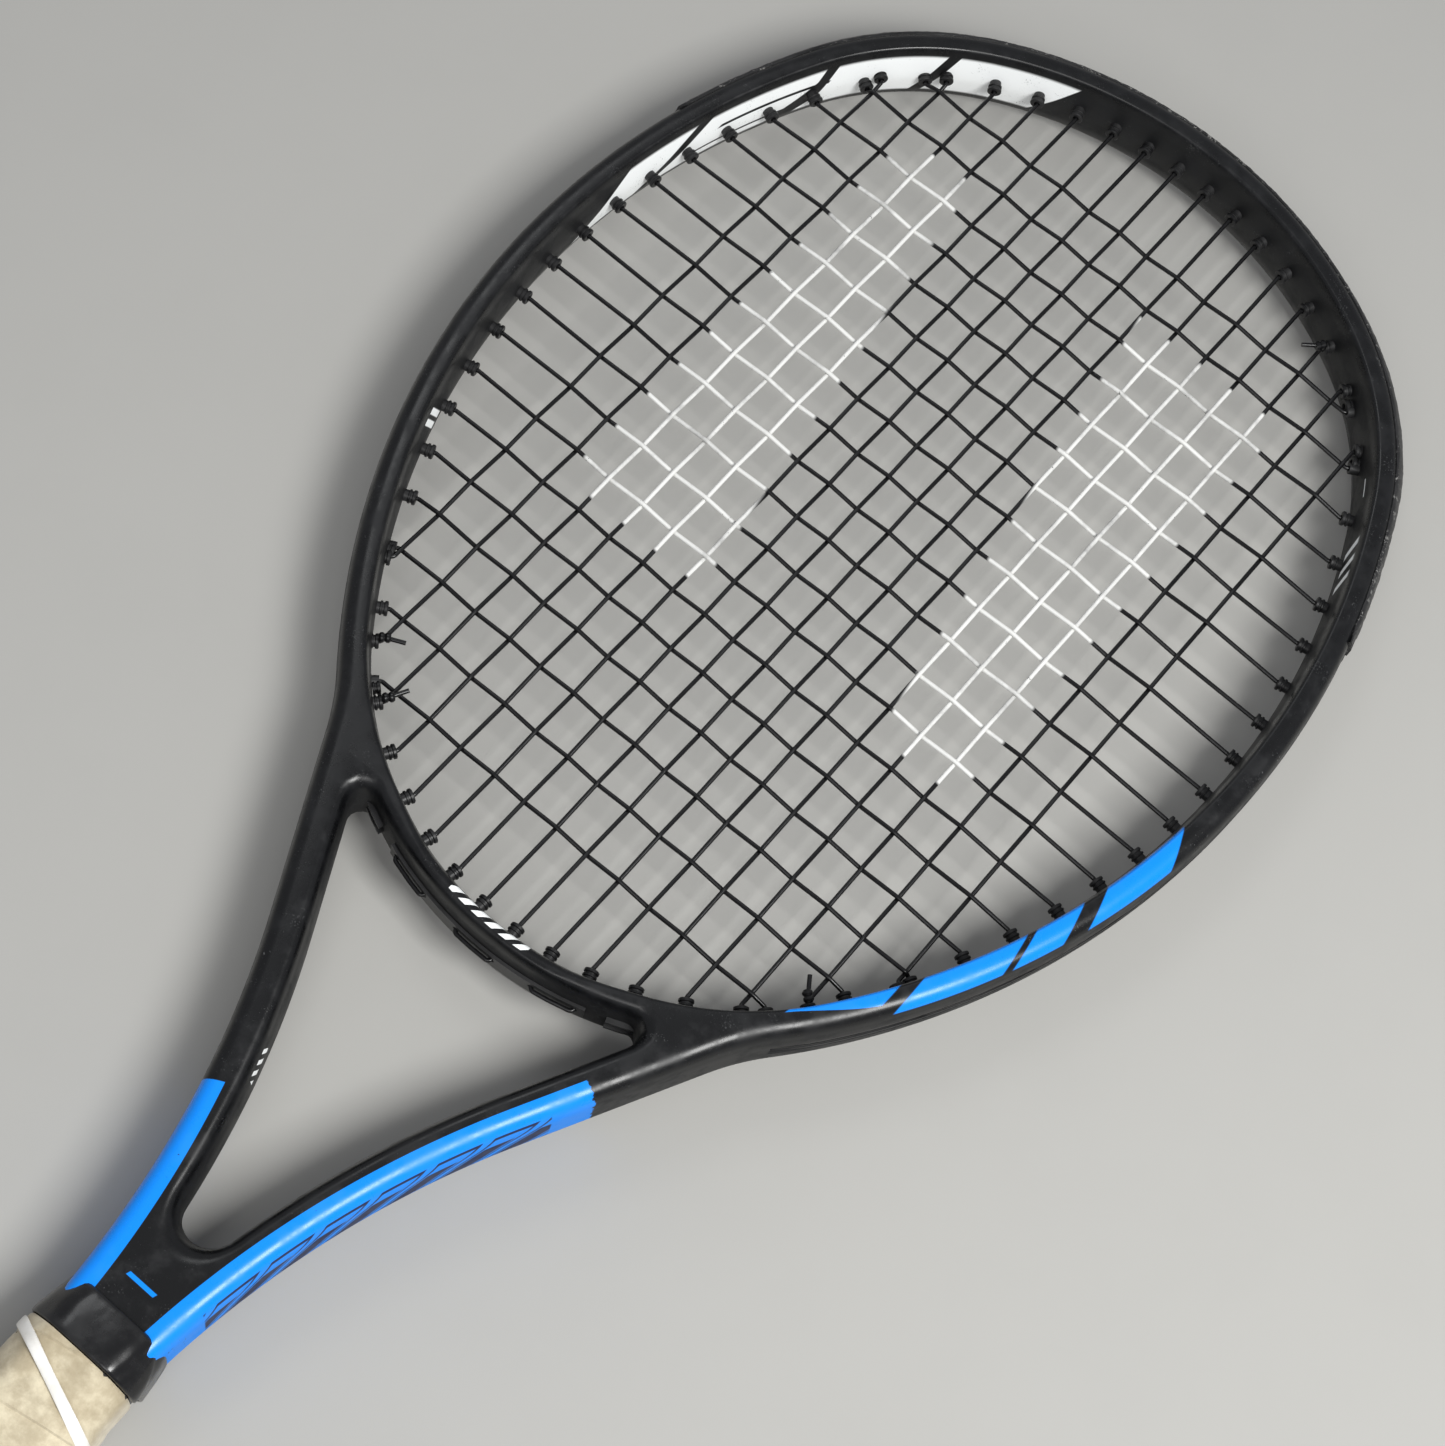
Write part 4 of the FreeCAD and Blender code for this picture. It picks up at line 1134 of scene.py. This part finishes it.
@dataclass(frozen=True)
class BlackPaint(Finish):
    """Satin black paint with flake, fine scuffs, and the frame's painted marks."""

    blue: Colour = (0.0, 0.235, 0.86, 1.0)
    white: Colour = (0.92, 0.94, 0.94, 1.0)
    navy: Colour = (0.004, 0.012, 0.06, 1.0)
    left_top: float = -60.5
    right_top: float = 8.0
    tip_blocks: tuple = ((-86.3, -79.6), (-78.2, -67.0), (-64.4, -43.0), (-40.6, -22.0))
    small_marks: tuple = ((-109.6, -109.0, -1.0, 7.5), (-108.6, -108.0, -1.0, 7.5), (59.8, 63.6, 4.6, 5.1),
                          (69.4, 70.0, 1.0, 10.0), (70.9, 71.5, 1.0, 10.0), (72.4, 73.0, 1.0, 10.0))
    tilt: float = 27.0

    def polar(self, graph: Graph, effects: Effects, line: HeadLine, arc: int) -> tuple[Socket, Socket]:
        """Plane angle and distance outside the centreline about one arc of the hoop.

        Args:
            graph: The material's graph.
            effects: Shared groups.
            line: The head's line.
            arc: Number of the arc.

        Returns:
            The angle and the distance.
        """
        centre = line.centres[arc]
        placed = graph.placed(effects.arc_place, centre_x=centre.x, centre_y=centre.y,
                              radius=line.all_radii[arc])
        return placed.outputs["Angle"], placed.outputs["Out"]

    def blue_marks(self, graph: Graph, effects: Effects, line: HeadLine) -> tuple[Socket, Socket]:
        """Blue fields along both shafts and slanted blue blocks on the lower right.

        Args:
            graph: The material's graph.
            effects: Shared groups.
            line: The head's line.

        Returns:
            Masks of the blue and of the navy pattern over it.
        """
        x, y, z = graph.millimetres()
        height = graph.math("SUBTRACT", z, line.string_z)
        size = graph.math("ABSOLUTE", x)
        along = graph.math("ADD", graph.both(size, math.sin(math.radians(self.tilt))),
                           graph.both(y, math.cos(math.radians(self.tilt))))
        right = graph.above(x, 0.0, 0.01)
        chips = graph.noise(420.0, 5.0, 0.7)
        ragged = graph.both(graph.math("SUBTRACT", chips, 0.5), 9.0)
        right_end = graph.math("ADD", along, graph.both(ragged, 0.5))
        long_enough = graph.math(
            "ADD", graph.both(right, graph.below(right_end, self.right_top, 0.15)),
            graph.without(graph.below(along, self.left_top, 0.15), right))
        outside = graph.below(graph.attribute("across"), 0.985, 0.012)
        on_shaft = graph.both(outside, long_enough, graph.between(y, line.neck_y + 5.0, 40.0, 0.2))
        angle, out = self.polar(graph, effects, line, 2)
        angle = graph.both(angle, right)
        slant = graph.math("SUBTRACT", angle, graph.both(out, 0.42))
        upper = graph.above(height, 9.0, 0.2)
        blocks = graph.total([graph.between(slant, low, high, 0.12)
                              for low, high in ((97.9, 105.3), (107.4, 111.4), (112.2, 120.2))])
        wedge = graph.both(graph.between(slant, 122.0, 130.0, 0.12),
                           graph.below(out, graph.scaled(angle, 122.0, 130.0, 2.2, -1.5), 0.1))
        top_blocks = graph.both(graph.total([blocks, wedge]), upper,
                                graph.between(out, -2.4, 4.7, 0.12), right)
        lean = graph.math("SUBTRACT", along, graph.both(height, 1.1))
        cell = graph.math("PINGPONG", lean, 8.0)
        rim = graph.without(graph.above(cell, 1.6, 0.12), graph.above(cell, 2.7, 0.12))
        filled = graph.both(graph.above(cell, 3.6, 0.12), graph.between(height, -7.0, 5.0, 0.15))
        tall = graph.total([graph.both(rim, graph.between(height, -8.6, 9.6, 0.15)),
                            graph.both(graph.above(cell, 1.6, 0.12),
                                       graph.total([graph.between(height, 8.6, 9.6, 0.12),
                                                    graph.between(height, -8.6, -7.6, 0.12)]))])
        low_wall = graph.below(graph.attribute("across"), 0.42, 0.02)
        dashes = graph.both(graph.total([tall, filled]), low_wall,
                            graph.between(along, -104.0, -4.0, 0.2), right)
        badge = graph.both(graph.between(graph.math("SUBTRACT", x, graph.both(y, 0.35)), 40.5, 49.5, 0.15),
                           graph.between(y, -130.1, -128.9, 0.12), graph.above(height, 11.0, 0.2))
        return graph.total([on_shaft, top_blocks, badge]), dashes

    def white_marks(self, graph: Graph, effects: Effects, line: HeadLine) -> Socket:
        """White band at the tip's inside, with slanted gaps, and short slanted bars elsewhere.

        Args:
            graph: The material's graph.
            effects: Shared groups.
            line: The head's line.

        Returns:
            Mask of the white.
        """
        x, y, z = graph.millimetres()
        height = graph.math("SUBTRACT", z, line.string_z)
        far = graph.math("ABSOLUTE", x)
        angle, out = self.polar(graph, effects, line, 0)
        for arc in (1, 2):
            there, away = self.polar(graph, effects, line, arc)
            turned = graph.above(graph.math("ABSOLUTE", there), line.limits[arc], 0.01)
            angle, out = graph.mixed_value(turned, angle, there), graph.mixed_value(turned, out, away)
        in_head = graph.both(graph.above(y, line.tip_y - 245.0, 0.1), graph.below(out, -2.7, 0.12))
        slant = graph.math("ADD", angle, graph.both(height, -0.34))
        blocks = graph.total([graph.between(slant, low, high, 0.1) for low, high in self.tip_blocks])
        seams = graph.total([graph.between(height, low, high, 0.12)
                             for low, high in ((2.2, 3.4), (-5.2, -4.0))])
        lined = graph.both(seams, graph.between(slant, -75.5, -64.0, 0.1))
        band = graph.both(graph.without(blocks, lined), graph.below(height, 11.2, 0.15), in_head)
        _, low_out = self.polar(graph, effects, line, 3)
        dash_slant = graph.math("PINGPONG", graph.math("ADD", x, graph.both(low_out, 1.1)), 2.4)
        dashes = graph.both(graph.above(dash_slant, 1.1, 0.1), graph.below(far, 13.5, 0.1),
                            graph.between(low_out, -2.6, 1.2, 0.1), graph.above(height, 10.0, 0.2),
                            graph.below(y, 60.0, 0.5), graph.above(y, -20.0, 0.5))
        leaning = graph.math("ADD", angle, graph.both(height, 0.12))
        marks = graph.total([
            graph.both(graph.between(leaning, low, high, 0.06), graph.between(height, under, over, 0.12))
            for low, high, under, over in self.small_marks])
        tick = graph.math("PINGPONG", graph.math("ADD", y, graph.both(height, 0.5)), 1.5)
        ticks = graph.both(graph.above(tick, 0.8, 0.08), graph.above(graph.attribute("across"), 1.5, 0.1),
                           graph.below(x, -2.0, 0.1), graph.between(y, -73.0, -63.0, 0.1),
                           graph.between(height, 3.5, 7.5, 0.12))
        return graph.total([band, dashes, ticks, graph.both(marks, in_head)])

    def decorate(self, effects: Effects, line: HeadLine) -> bpy.types.Material:
        """Builds the paint with its marks, flake and wear.

        Args:
            effects: Shared groups.
            line: The head's line.

        Returns:
            The paint.
        """
        material, graph, shader = self.begin()
        x, y, z = graph.millimetres()
        height = graph.math("ABSOLUTE", graph.math("SUBTRACT", z, line.string_z))
        blue, navy = self.blue_marks(graph, effects, line)
        white = self.white_marks(graph, effects, line)
        scuffs = graph.placed(effects.scuffs, size=0.55, amount=0.62).outputs[0]
        coarse = graph.placed(effects.scuffs, size=1.7, amount=0.5).outputs[0]
        edge = graph.both(graph.between(graph.attribute("across"), 0.05, 0.6, 0.08),
                          graph.above(height, 6.0, 1.5))
        wear = graph.total([graph.both(scuffs, 0.35), graph.both(coarse, edge, 0.8)])
        dust = graph.placed(effects.grime, size=9.0, amount=0.5).outputs[0]
        black = graph.mixed(graph.both(dust, 0.5), self.colour, (0.010, 0.0105, 0.012, 1.0))
        black = graph.mixed(graph.both(wear, 0.5), black, (0.23, 0.235, 0.24, 1.0))
        painted = graph.mixed(graph.without(blue, coarse), black, self.blue)
        painted = graph.mixed(graph.both(navy, blue), painted, self.navy)
        painted = graph.mixed(graph.without(white, graph.both(scuffs, 0.6)), painted, self.white)
        gloss = graph.scaled(dust, 0.0, 1.0, self.roughness, self.roughness + 0.16)
        wall = graph.below(height, 8.0, 1.5)
        gloss = graph.math("ADD", gloss, graph.both(graph.total([wear, white, wall]), 0.25))
        bump = graph.node("ShaderNodeBump")
        bump.inputs["Strength"].default_value = 0.22
        bump.inputs["Distance"].default_value = 0.1 * MM
        relief = graph.placed(effects.grain, size=self.grain_size, depth=self.grain_depth).outputs[0]
        graph.feed(bump.inputs["Height"], graph.math("SUBTRACT", relief, graph.both(wear, 0.8)))
        graph.feed(shader.inputs["Base Color"], painted)
        graph.feed(shader.inputs["Roughness"], gloss)
        graph.feed(shader.inputs["Normal"], bump.outputs[0])
        return material


@dataclass(frozen=True)
class ScuffedPlastic(Finish):
    """Moulded plastic of the bumper and the strips, greyed by scrapes where it hits the court."""

    reach: float = 0.9

    def colour_and_gloss(self, graph: Graph, effects: Effects) -> tuple[object, object]:
        """Grey scrapes and pale chips over dark plastic.

        Args:
            graph: The material's graph.
            effects: Shared groups.

        Returns:
            Colour and roughness.
        """
        broad = graph.placed(effects.scuffs, size=2.4, amount=self.reach).outputs[0]
        fine = graph.placed(effects.scuffs, size=0.6, amount=self.reach).outputs[0]
        scraped = graph.total([graph.both(broad, 0.55), graph.both(fine, 0.9)])
        dust = graph.placed(effects.grime, size=22.0, amount=0.7).outputs[0]
        base = graph.mixed(graph.both(dust, 0.6), self.colour, (0.035, 0.035, 0.036, 1.0))
        return (graph.mixed(graph.both(scraped, 0.75), base, (0.36, 0.355, 0.34, 1.0)),
                graph.scaled(scraped, 0.0, 1.0, self.roughness, 0.75))


@dataclass(frozen=True)
class StringCoat(Finish):
    """Glossy black string with a worn white stencil across the middle of the bed."""

    white: Colour = (0.70, 0.70, 0.68, 1.0)
    stencil: tuple = ((-74.0, 71.0), (118.0, 280.0))
    lean: float = 0.16
    bar_gap: float = 33.0

    def colour_and_gloss(self, graph: Graph, effects: Effects) -> tuple[object, object]:
        """Two broad slanted bars of paint that has rubbed off at the crossings.

        Args:
            graph: The material's graph.
            effects: Shared groups.

        Returns:
            Colour and roughness.
        """
        x, y, _ = graph.millimetres()
        (left, right), (low, high) = self.stencil
        field = graph.both(graph.between(x, left, right, 0.6), graph.between(y, low, high, 0.6))
        lean = graph.math("ADD", x, graph.both(graph.math("SUBTRACT", y, (low + high) / 2), self.lean))
        bars = graph.above(graph.math("ABSOLUTE", graph.math("ADD", lean, 3.0)), self.bar_gap, 0.7)
        rubbed = graph.placed(effects.scuffs, size=1.2, amount=0.55).outputs[0]
        thin = graph.placed(effects.grime, size=16.0, amount=0.35).outputs[0]
        paint = graph.without(graph.both(field, bars), graph.total([rubbed, graph.both(thin, 0.6)]))
        fuzz = graph.placed(effects.grime, size=5.0, amount=0.6).outputs[0]
        base = graph.mixed(graph.both(fuzz, 0.5), self.colour, (0.009, 0.009, 0.0095, 1.0))
        return graph.mixed(paint, base, self.white), graph.scaled(paint, 0.0, 1.0, self.roughness, 0.6)


@dataclass(frozen=True)
class WrapFoam(Finish):
    """Absorbent cream wrap with brown hand stains and a pebbled skin."""

    stain: Colour = (0.27, 0.21, 0.125, 1.0)

    def colour_and_gloss(self, graph: Graph, effects: Effects) -> tuple[object, object]:
        """Stains that gather in clouds, spots and specks.

        Args:
            graph: The material's graph.
            effects: Shared groups.

        Returns:
            Colour and roughness.
        """
        cloud = graph.placed(effects.grime, size=20.0, amount=0.66).outputs[0]
        spots = graph.placed(effects.grime, size=6.0, amount=0.6).outputs[0]
        specks = graph.placed(effects.scuffs, size=0.8, amount=0.35).outputs[0]
        base = graph.mixed(graph.both(cloud, 0.75), self.colour, (0.36, 0.30, 0.195, 1.0))
        base = graph.mixed(graph.both(spots, 0.5), base, self.stain)
        base = graph.mixed(graph.both(specks, 0.6), base, (0.10, 0.06, 0.03, 1.0))
        return base, graph.scaled(cloud, 0.0, 1.0, self.roughness, 0.6)


@dataclass(frozen=True)
class CourtFloor(Finish):
    """Plain pale ground with the faintest unevenness."""

    def colour_and_gloss(self, graph: Graph, effects: Effects) -> tuple[object, object]:
        """Barely uneven tone.

        Args:
            graph: The material's graph.
            effects: Shared groups.

        Returns:
            Colour and roughness.
        """
        cloud = graph.placed(effects.grime, size=60.0, amount=0.5).outputs[0]
        tone = tuple(part * 0.985 for part in self.colour[:3]) + (1.0,)
        return graph.mixed(cloud, self.colour, tone), self.roughness


class Racket:
    """Puts the racket's finishes and detailed pieces on the frame."""

    tip_outside = 6.8

    def __init__(self) -> None:
        """Reads the sizes that the pieces share from the frame."""
        self.effects = Effects()
        bumper_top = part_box("bumper_guard")[1].y / MM
        cap_low, cap_high = (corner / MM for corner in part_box("butt_cap"))
        self.string_z = (cap_low.z + cap_high.z) / 2
        neck_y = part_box("rubber_collar")[0].y / MM
        self.line = HeadLine(tip_y=bumper_top - self.tip_outside, neck_y=neck_y, string_z=self.string_z)
        self.core_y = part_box("frame")[0].y / MM

    def paint_frame(self) -> None:
        """Builds the painted moulding."""
        shell = FrameShell(self.line).build(self.core_y)
        paint = BlackPaint("black_paint", (0.0035, 0.0037, 0.0042, 1.0), 0.27, 0.35, 0.3, specular=0.4)
        shell.data.materials.append(paint.decorate(self.effects, self.line))
        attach(shell, Body.RACKET.value)
        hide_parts("frame", "throat_bridge")
        LOG.info("painted frame: %d faces", len(shell.data.polygons))

    def head_fittings(self) -> None:
        """Builds the bumper's worn skin and the rims of the barrels."""
        arc, low = self.line.centres[2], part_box("bumper_guard")[0].y / MM
        end = math.degrees(math.acos((low - arc.y) / (self.line.all_radii[2] + self.line.outer_wall)))
        skin = BumperSkin(self.line, end).build()
        worn = ScuffedPlastic("bumper_skin", (0.006, 0.006, 0.0065, 1.0), 0.46, 0.5, 1.1, reach=0.72)
        self.dress(skin, worn, Body.RACKET, "grommet")
        strips = ("bumper_guard", "left_grommet_strip", "right_grommet_strip", "throat_grommet_strip")
        rims = BarrelRims(self.line).build(strips)
        self.dress(rims, Finish("rim_plastic", (0.0045, 0.0045, 0.005, 1.0), 0.34, 0.4, 0.4),
                   Body.RACKET, "grommet")

    def handle(self) -> None:
        """Builds the wraps, collar and band."""
        grip_low, grip_high = (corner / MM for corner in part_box("overgrip"))
        collar_low, collar_high = (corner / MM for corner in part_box("rubber_collar"))
        handle = Handle(
            grip=Octagon(15.7, 14.3, 16.4), root=Octagon(17.6, 15.8, 18.4),
            collar_low=Octagon(16.6, 15.2, 17.2).grown(0.15), collar_high=Octagon(14.9, 12.9, 15.2),
            string_z=self.string_z, wrap_low=grip_low.y, wrap_high=grip_high.y,
            collar_span=(collar_low.y, collar_high.y), band_y=-160.9, band_tilt=21.0)
        wrap = handle.overgrip()
        self.dress(wrap, WrapFoam("wrap_foam", (0.68, 0.61, 0.45, 1.0), 0.82, 0.35, 1.0, sheen=0.3),
                   Body.RACKET, "overwrap", "overgrip")
        collar = handle.collar()
        self.dress(collar, Finish("collar_rubber", (0.004, 0.004, 0.0045, 1.0), 0.24, 0.6, 0.4, coat=0.25),
                   Body.COLLAR, "collar_rubber", "rubber_collar")
        band = handle.band(3.2, 1.0, 0.15)
        self.dress(band, Finish("band_rubber", (0.70, 0.68, 0.63, 1.0), 0.6, 0.5, 0.8, sheen=0.1),
                   Body.BAND, "band_rubber", "rubber_band")

    def dress(self, piece: bpy.types.Object, finish: Finish, body: Body, slot: str, *nodes: str) -> None:
        """Gives a new piece its finish, its body and the nodes it stands for.

        Args:
            piece: The new piece.
            finish: Its finish.
            body: The body it rides on.
            slot: The record's slot of its material; not used.
            nodes: CAD nodes that it stands for.
        """
        piece.data.materials.append(finish.make(self.effects))
        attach(piece, body.value)
        if nodes:
            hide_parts(*nodes)
        LOG.info("%s: %d faces", piece.name, len(piece.data.polygons))

    def coat(self, finish: Finish, *nodes: str) -> None:
        """Gives CAD nodes whose shape is right a detailed finish."""
        material = finish.make(self.effects)
        for node in nodes:
            for piece in bpy.data.objects:
                if piece.type == "MESH" and piece.name == node:
                    piece.data.materials.clear()
                    piece.data.materials.append(material)
                    LOG.info("%s: %s", node, finish.name)

    def coat_nodes(self) -> None:
        """Finishes for the pieces kept from the frame."""
        self.coat(ScuffedPlastic("bumper_plastic", (0.006, 0.006, 0.0065, 1.0), 0.5, 0.5, 0.9, reach=0.35),
                  "bumper_guard")
        self.coat(ScuffedPlastic("strip_plastic", (0.005, 0.005, 0.0055, 1.0), 0.4, 0.5, 0.5, reach=0.1),
                  "left_grommet_strip", "right_grommet_strip", "throat_grommet_strip")
        string = StringCoat("string_coat", (0.004, 0.004, 0.0045, 1.0), 0.26, 0.3, 0.3)
        nodes = [o.name for o in bpy.data.objects if "string" in o.name or "knot" in o.name]
        self.coat(string, *nodes)
        self.coat(Finish("cap_plastic", (0.010, 0.010, 0.011, 1.0), 0.38, 0.5, 0.5),
                  "butt_cap", "butt_cap_door")
        self.coat(Finish("base_leather", (0.015, 0.013, 0.012, 1.0), 0.6, 0.7, 1.0), "base_grip")
        self.coat(Finish("finishing_tape", (0.012, 0.012, 0.013, 1.0), 0.35, 0.6, 0.4), "finishing_tape")
        foams = [o.name for o in bpy.data.objects if "pallet" in o.name]
        self.coat(Finish("pallet_foam", (0.05, 0.05, 0.048, 1.0), 0.85, 0.8, 1.4), *foams)


@dataclass
class Studio:
    """Ground, soft light and the camera."""

    focal: float = 72.2
    sensor: float = 36.0
    camera_at: tuple = (0.1201, -0.2115, 0.7635)

    def ground(self, effects: Effects) -> None:
        """Adds a large pale floor under the racket.

        Args:
            effects: Shared groups.
        """
        mesh = bmesh.new()
        bmesh.ops.create_grid(mesh, x_segments=1, y_segments=1, size=4.0)
        floor = mesh_object("floor", mesh)
        finish = CourtFloor("floor_plain", (0.385, 0.38, 0.362, 1.0), 0.7, 2.0, 0.2)
        floor.data.materials.append(finish.make(effects))

    def lamp(self, name: str, place: tuple, aim: tuple, size: float, power: float, colour: tuple) -> None:
        """Adds a soft area light.

        Args:
            name: Name of the light.
            place: Where it is, in metres.
            aim: What it points at.
            size: Side of the panel in metres.
            power: Power in watts.
            colour: Tint of the light.
        """
        data = bpy.data.lights.new(name, "AREA")
        data.shape, data.size, data.energy, data.color = "SQUARE", size, power, colour
        lamp = bpy.data.objects.new(name, data)
        lamp.location = place
        lamp.rotation_euler = (Vector(aim) - Vector(place)).to_track_quat("-Z", "Y").to_euler()
        bpy.context.scene.collection.objects.link(lamp)

    def light(self) -> None:
        """Lights the racket from its right side, with two weaker lamps that soften the shadows."""
        self.lamp("key", (0.72, -0.05, 1.1), (0.05, 0.05, 0.0), 0.5, 17.5, (1.0, 1.0, 0.985))
        self.lamp("left", (-0.85, 0.8, 1.7), (0.0, 0.05, 0.0), 0.6, 3.5, (0.97, 0.99, 1.0))
        self.lamp("fill", (0.5, -1.1, 1.5), (0.0, 0.05, 0.0), 0.9, 8.0, (1.0, 0.99, 0.98))
        world = bpy.data.worlds.new("studio")
        world.use_nodes = True
        background = world.node_tree.nodes["Background"]
        background.inputs["Color"].default_value = (0.93, 0.95, 1.0, 1.0)
        background.inputs["Strength"].default_value = 0.36
        bpy.context.scene.world = world
        bpy.context.scene.view_settings.view_transform = "Standard"

    def camera(self) -> None:
        """Places the camera over the handle, looking down the racket."""
        data = bpy.data.cameras.new("camera")
        data.lens, data.sensor_width = self.focal, self.sensor
        data.clip_start = 0.01
        eye = bpy.data.objects.new("camera", data)
        right = Vector((0.7604, 0.6336, 0.1427)).normalized()
        back = Vector((0.1378, -0.3721, 0.9179)).normalized()
        up = back.cross(right).normalized()
        right = up.cross(back)
        turn = Matrix((right, up, back)).transposed().to_4x4()
        eye.matrix_world = Matrix.Translation(self.camera_at) @ turn
        bpy.context.scene.collection.objects.link(eye)
        bpy.context.scene.camera = eye


def main() -> None:
    """Builds every group in order."""
    logging.basicConfig(level=logging.INFO, format="%(name)s: %(message)s")
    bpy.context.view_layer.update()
    racket = Racket()
    racket.paint_frame()
    racket.head_fittings()
    racket.handle()
    racket.coat_nodes()
    studio = Studio()
    studio.ground(racket.effects)
    studio.light()
    studio.camera()


if __name__ == "__main__":
    main()
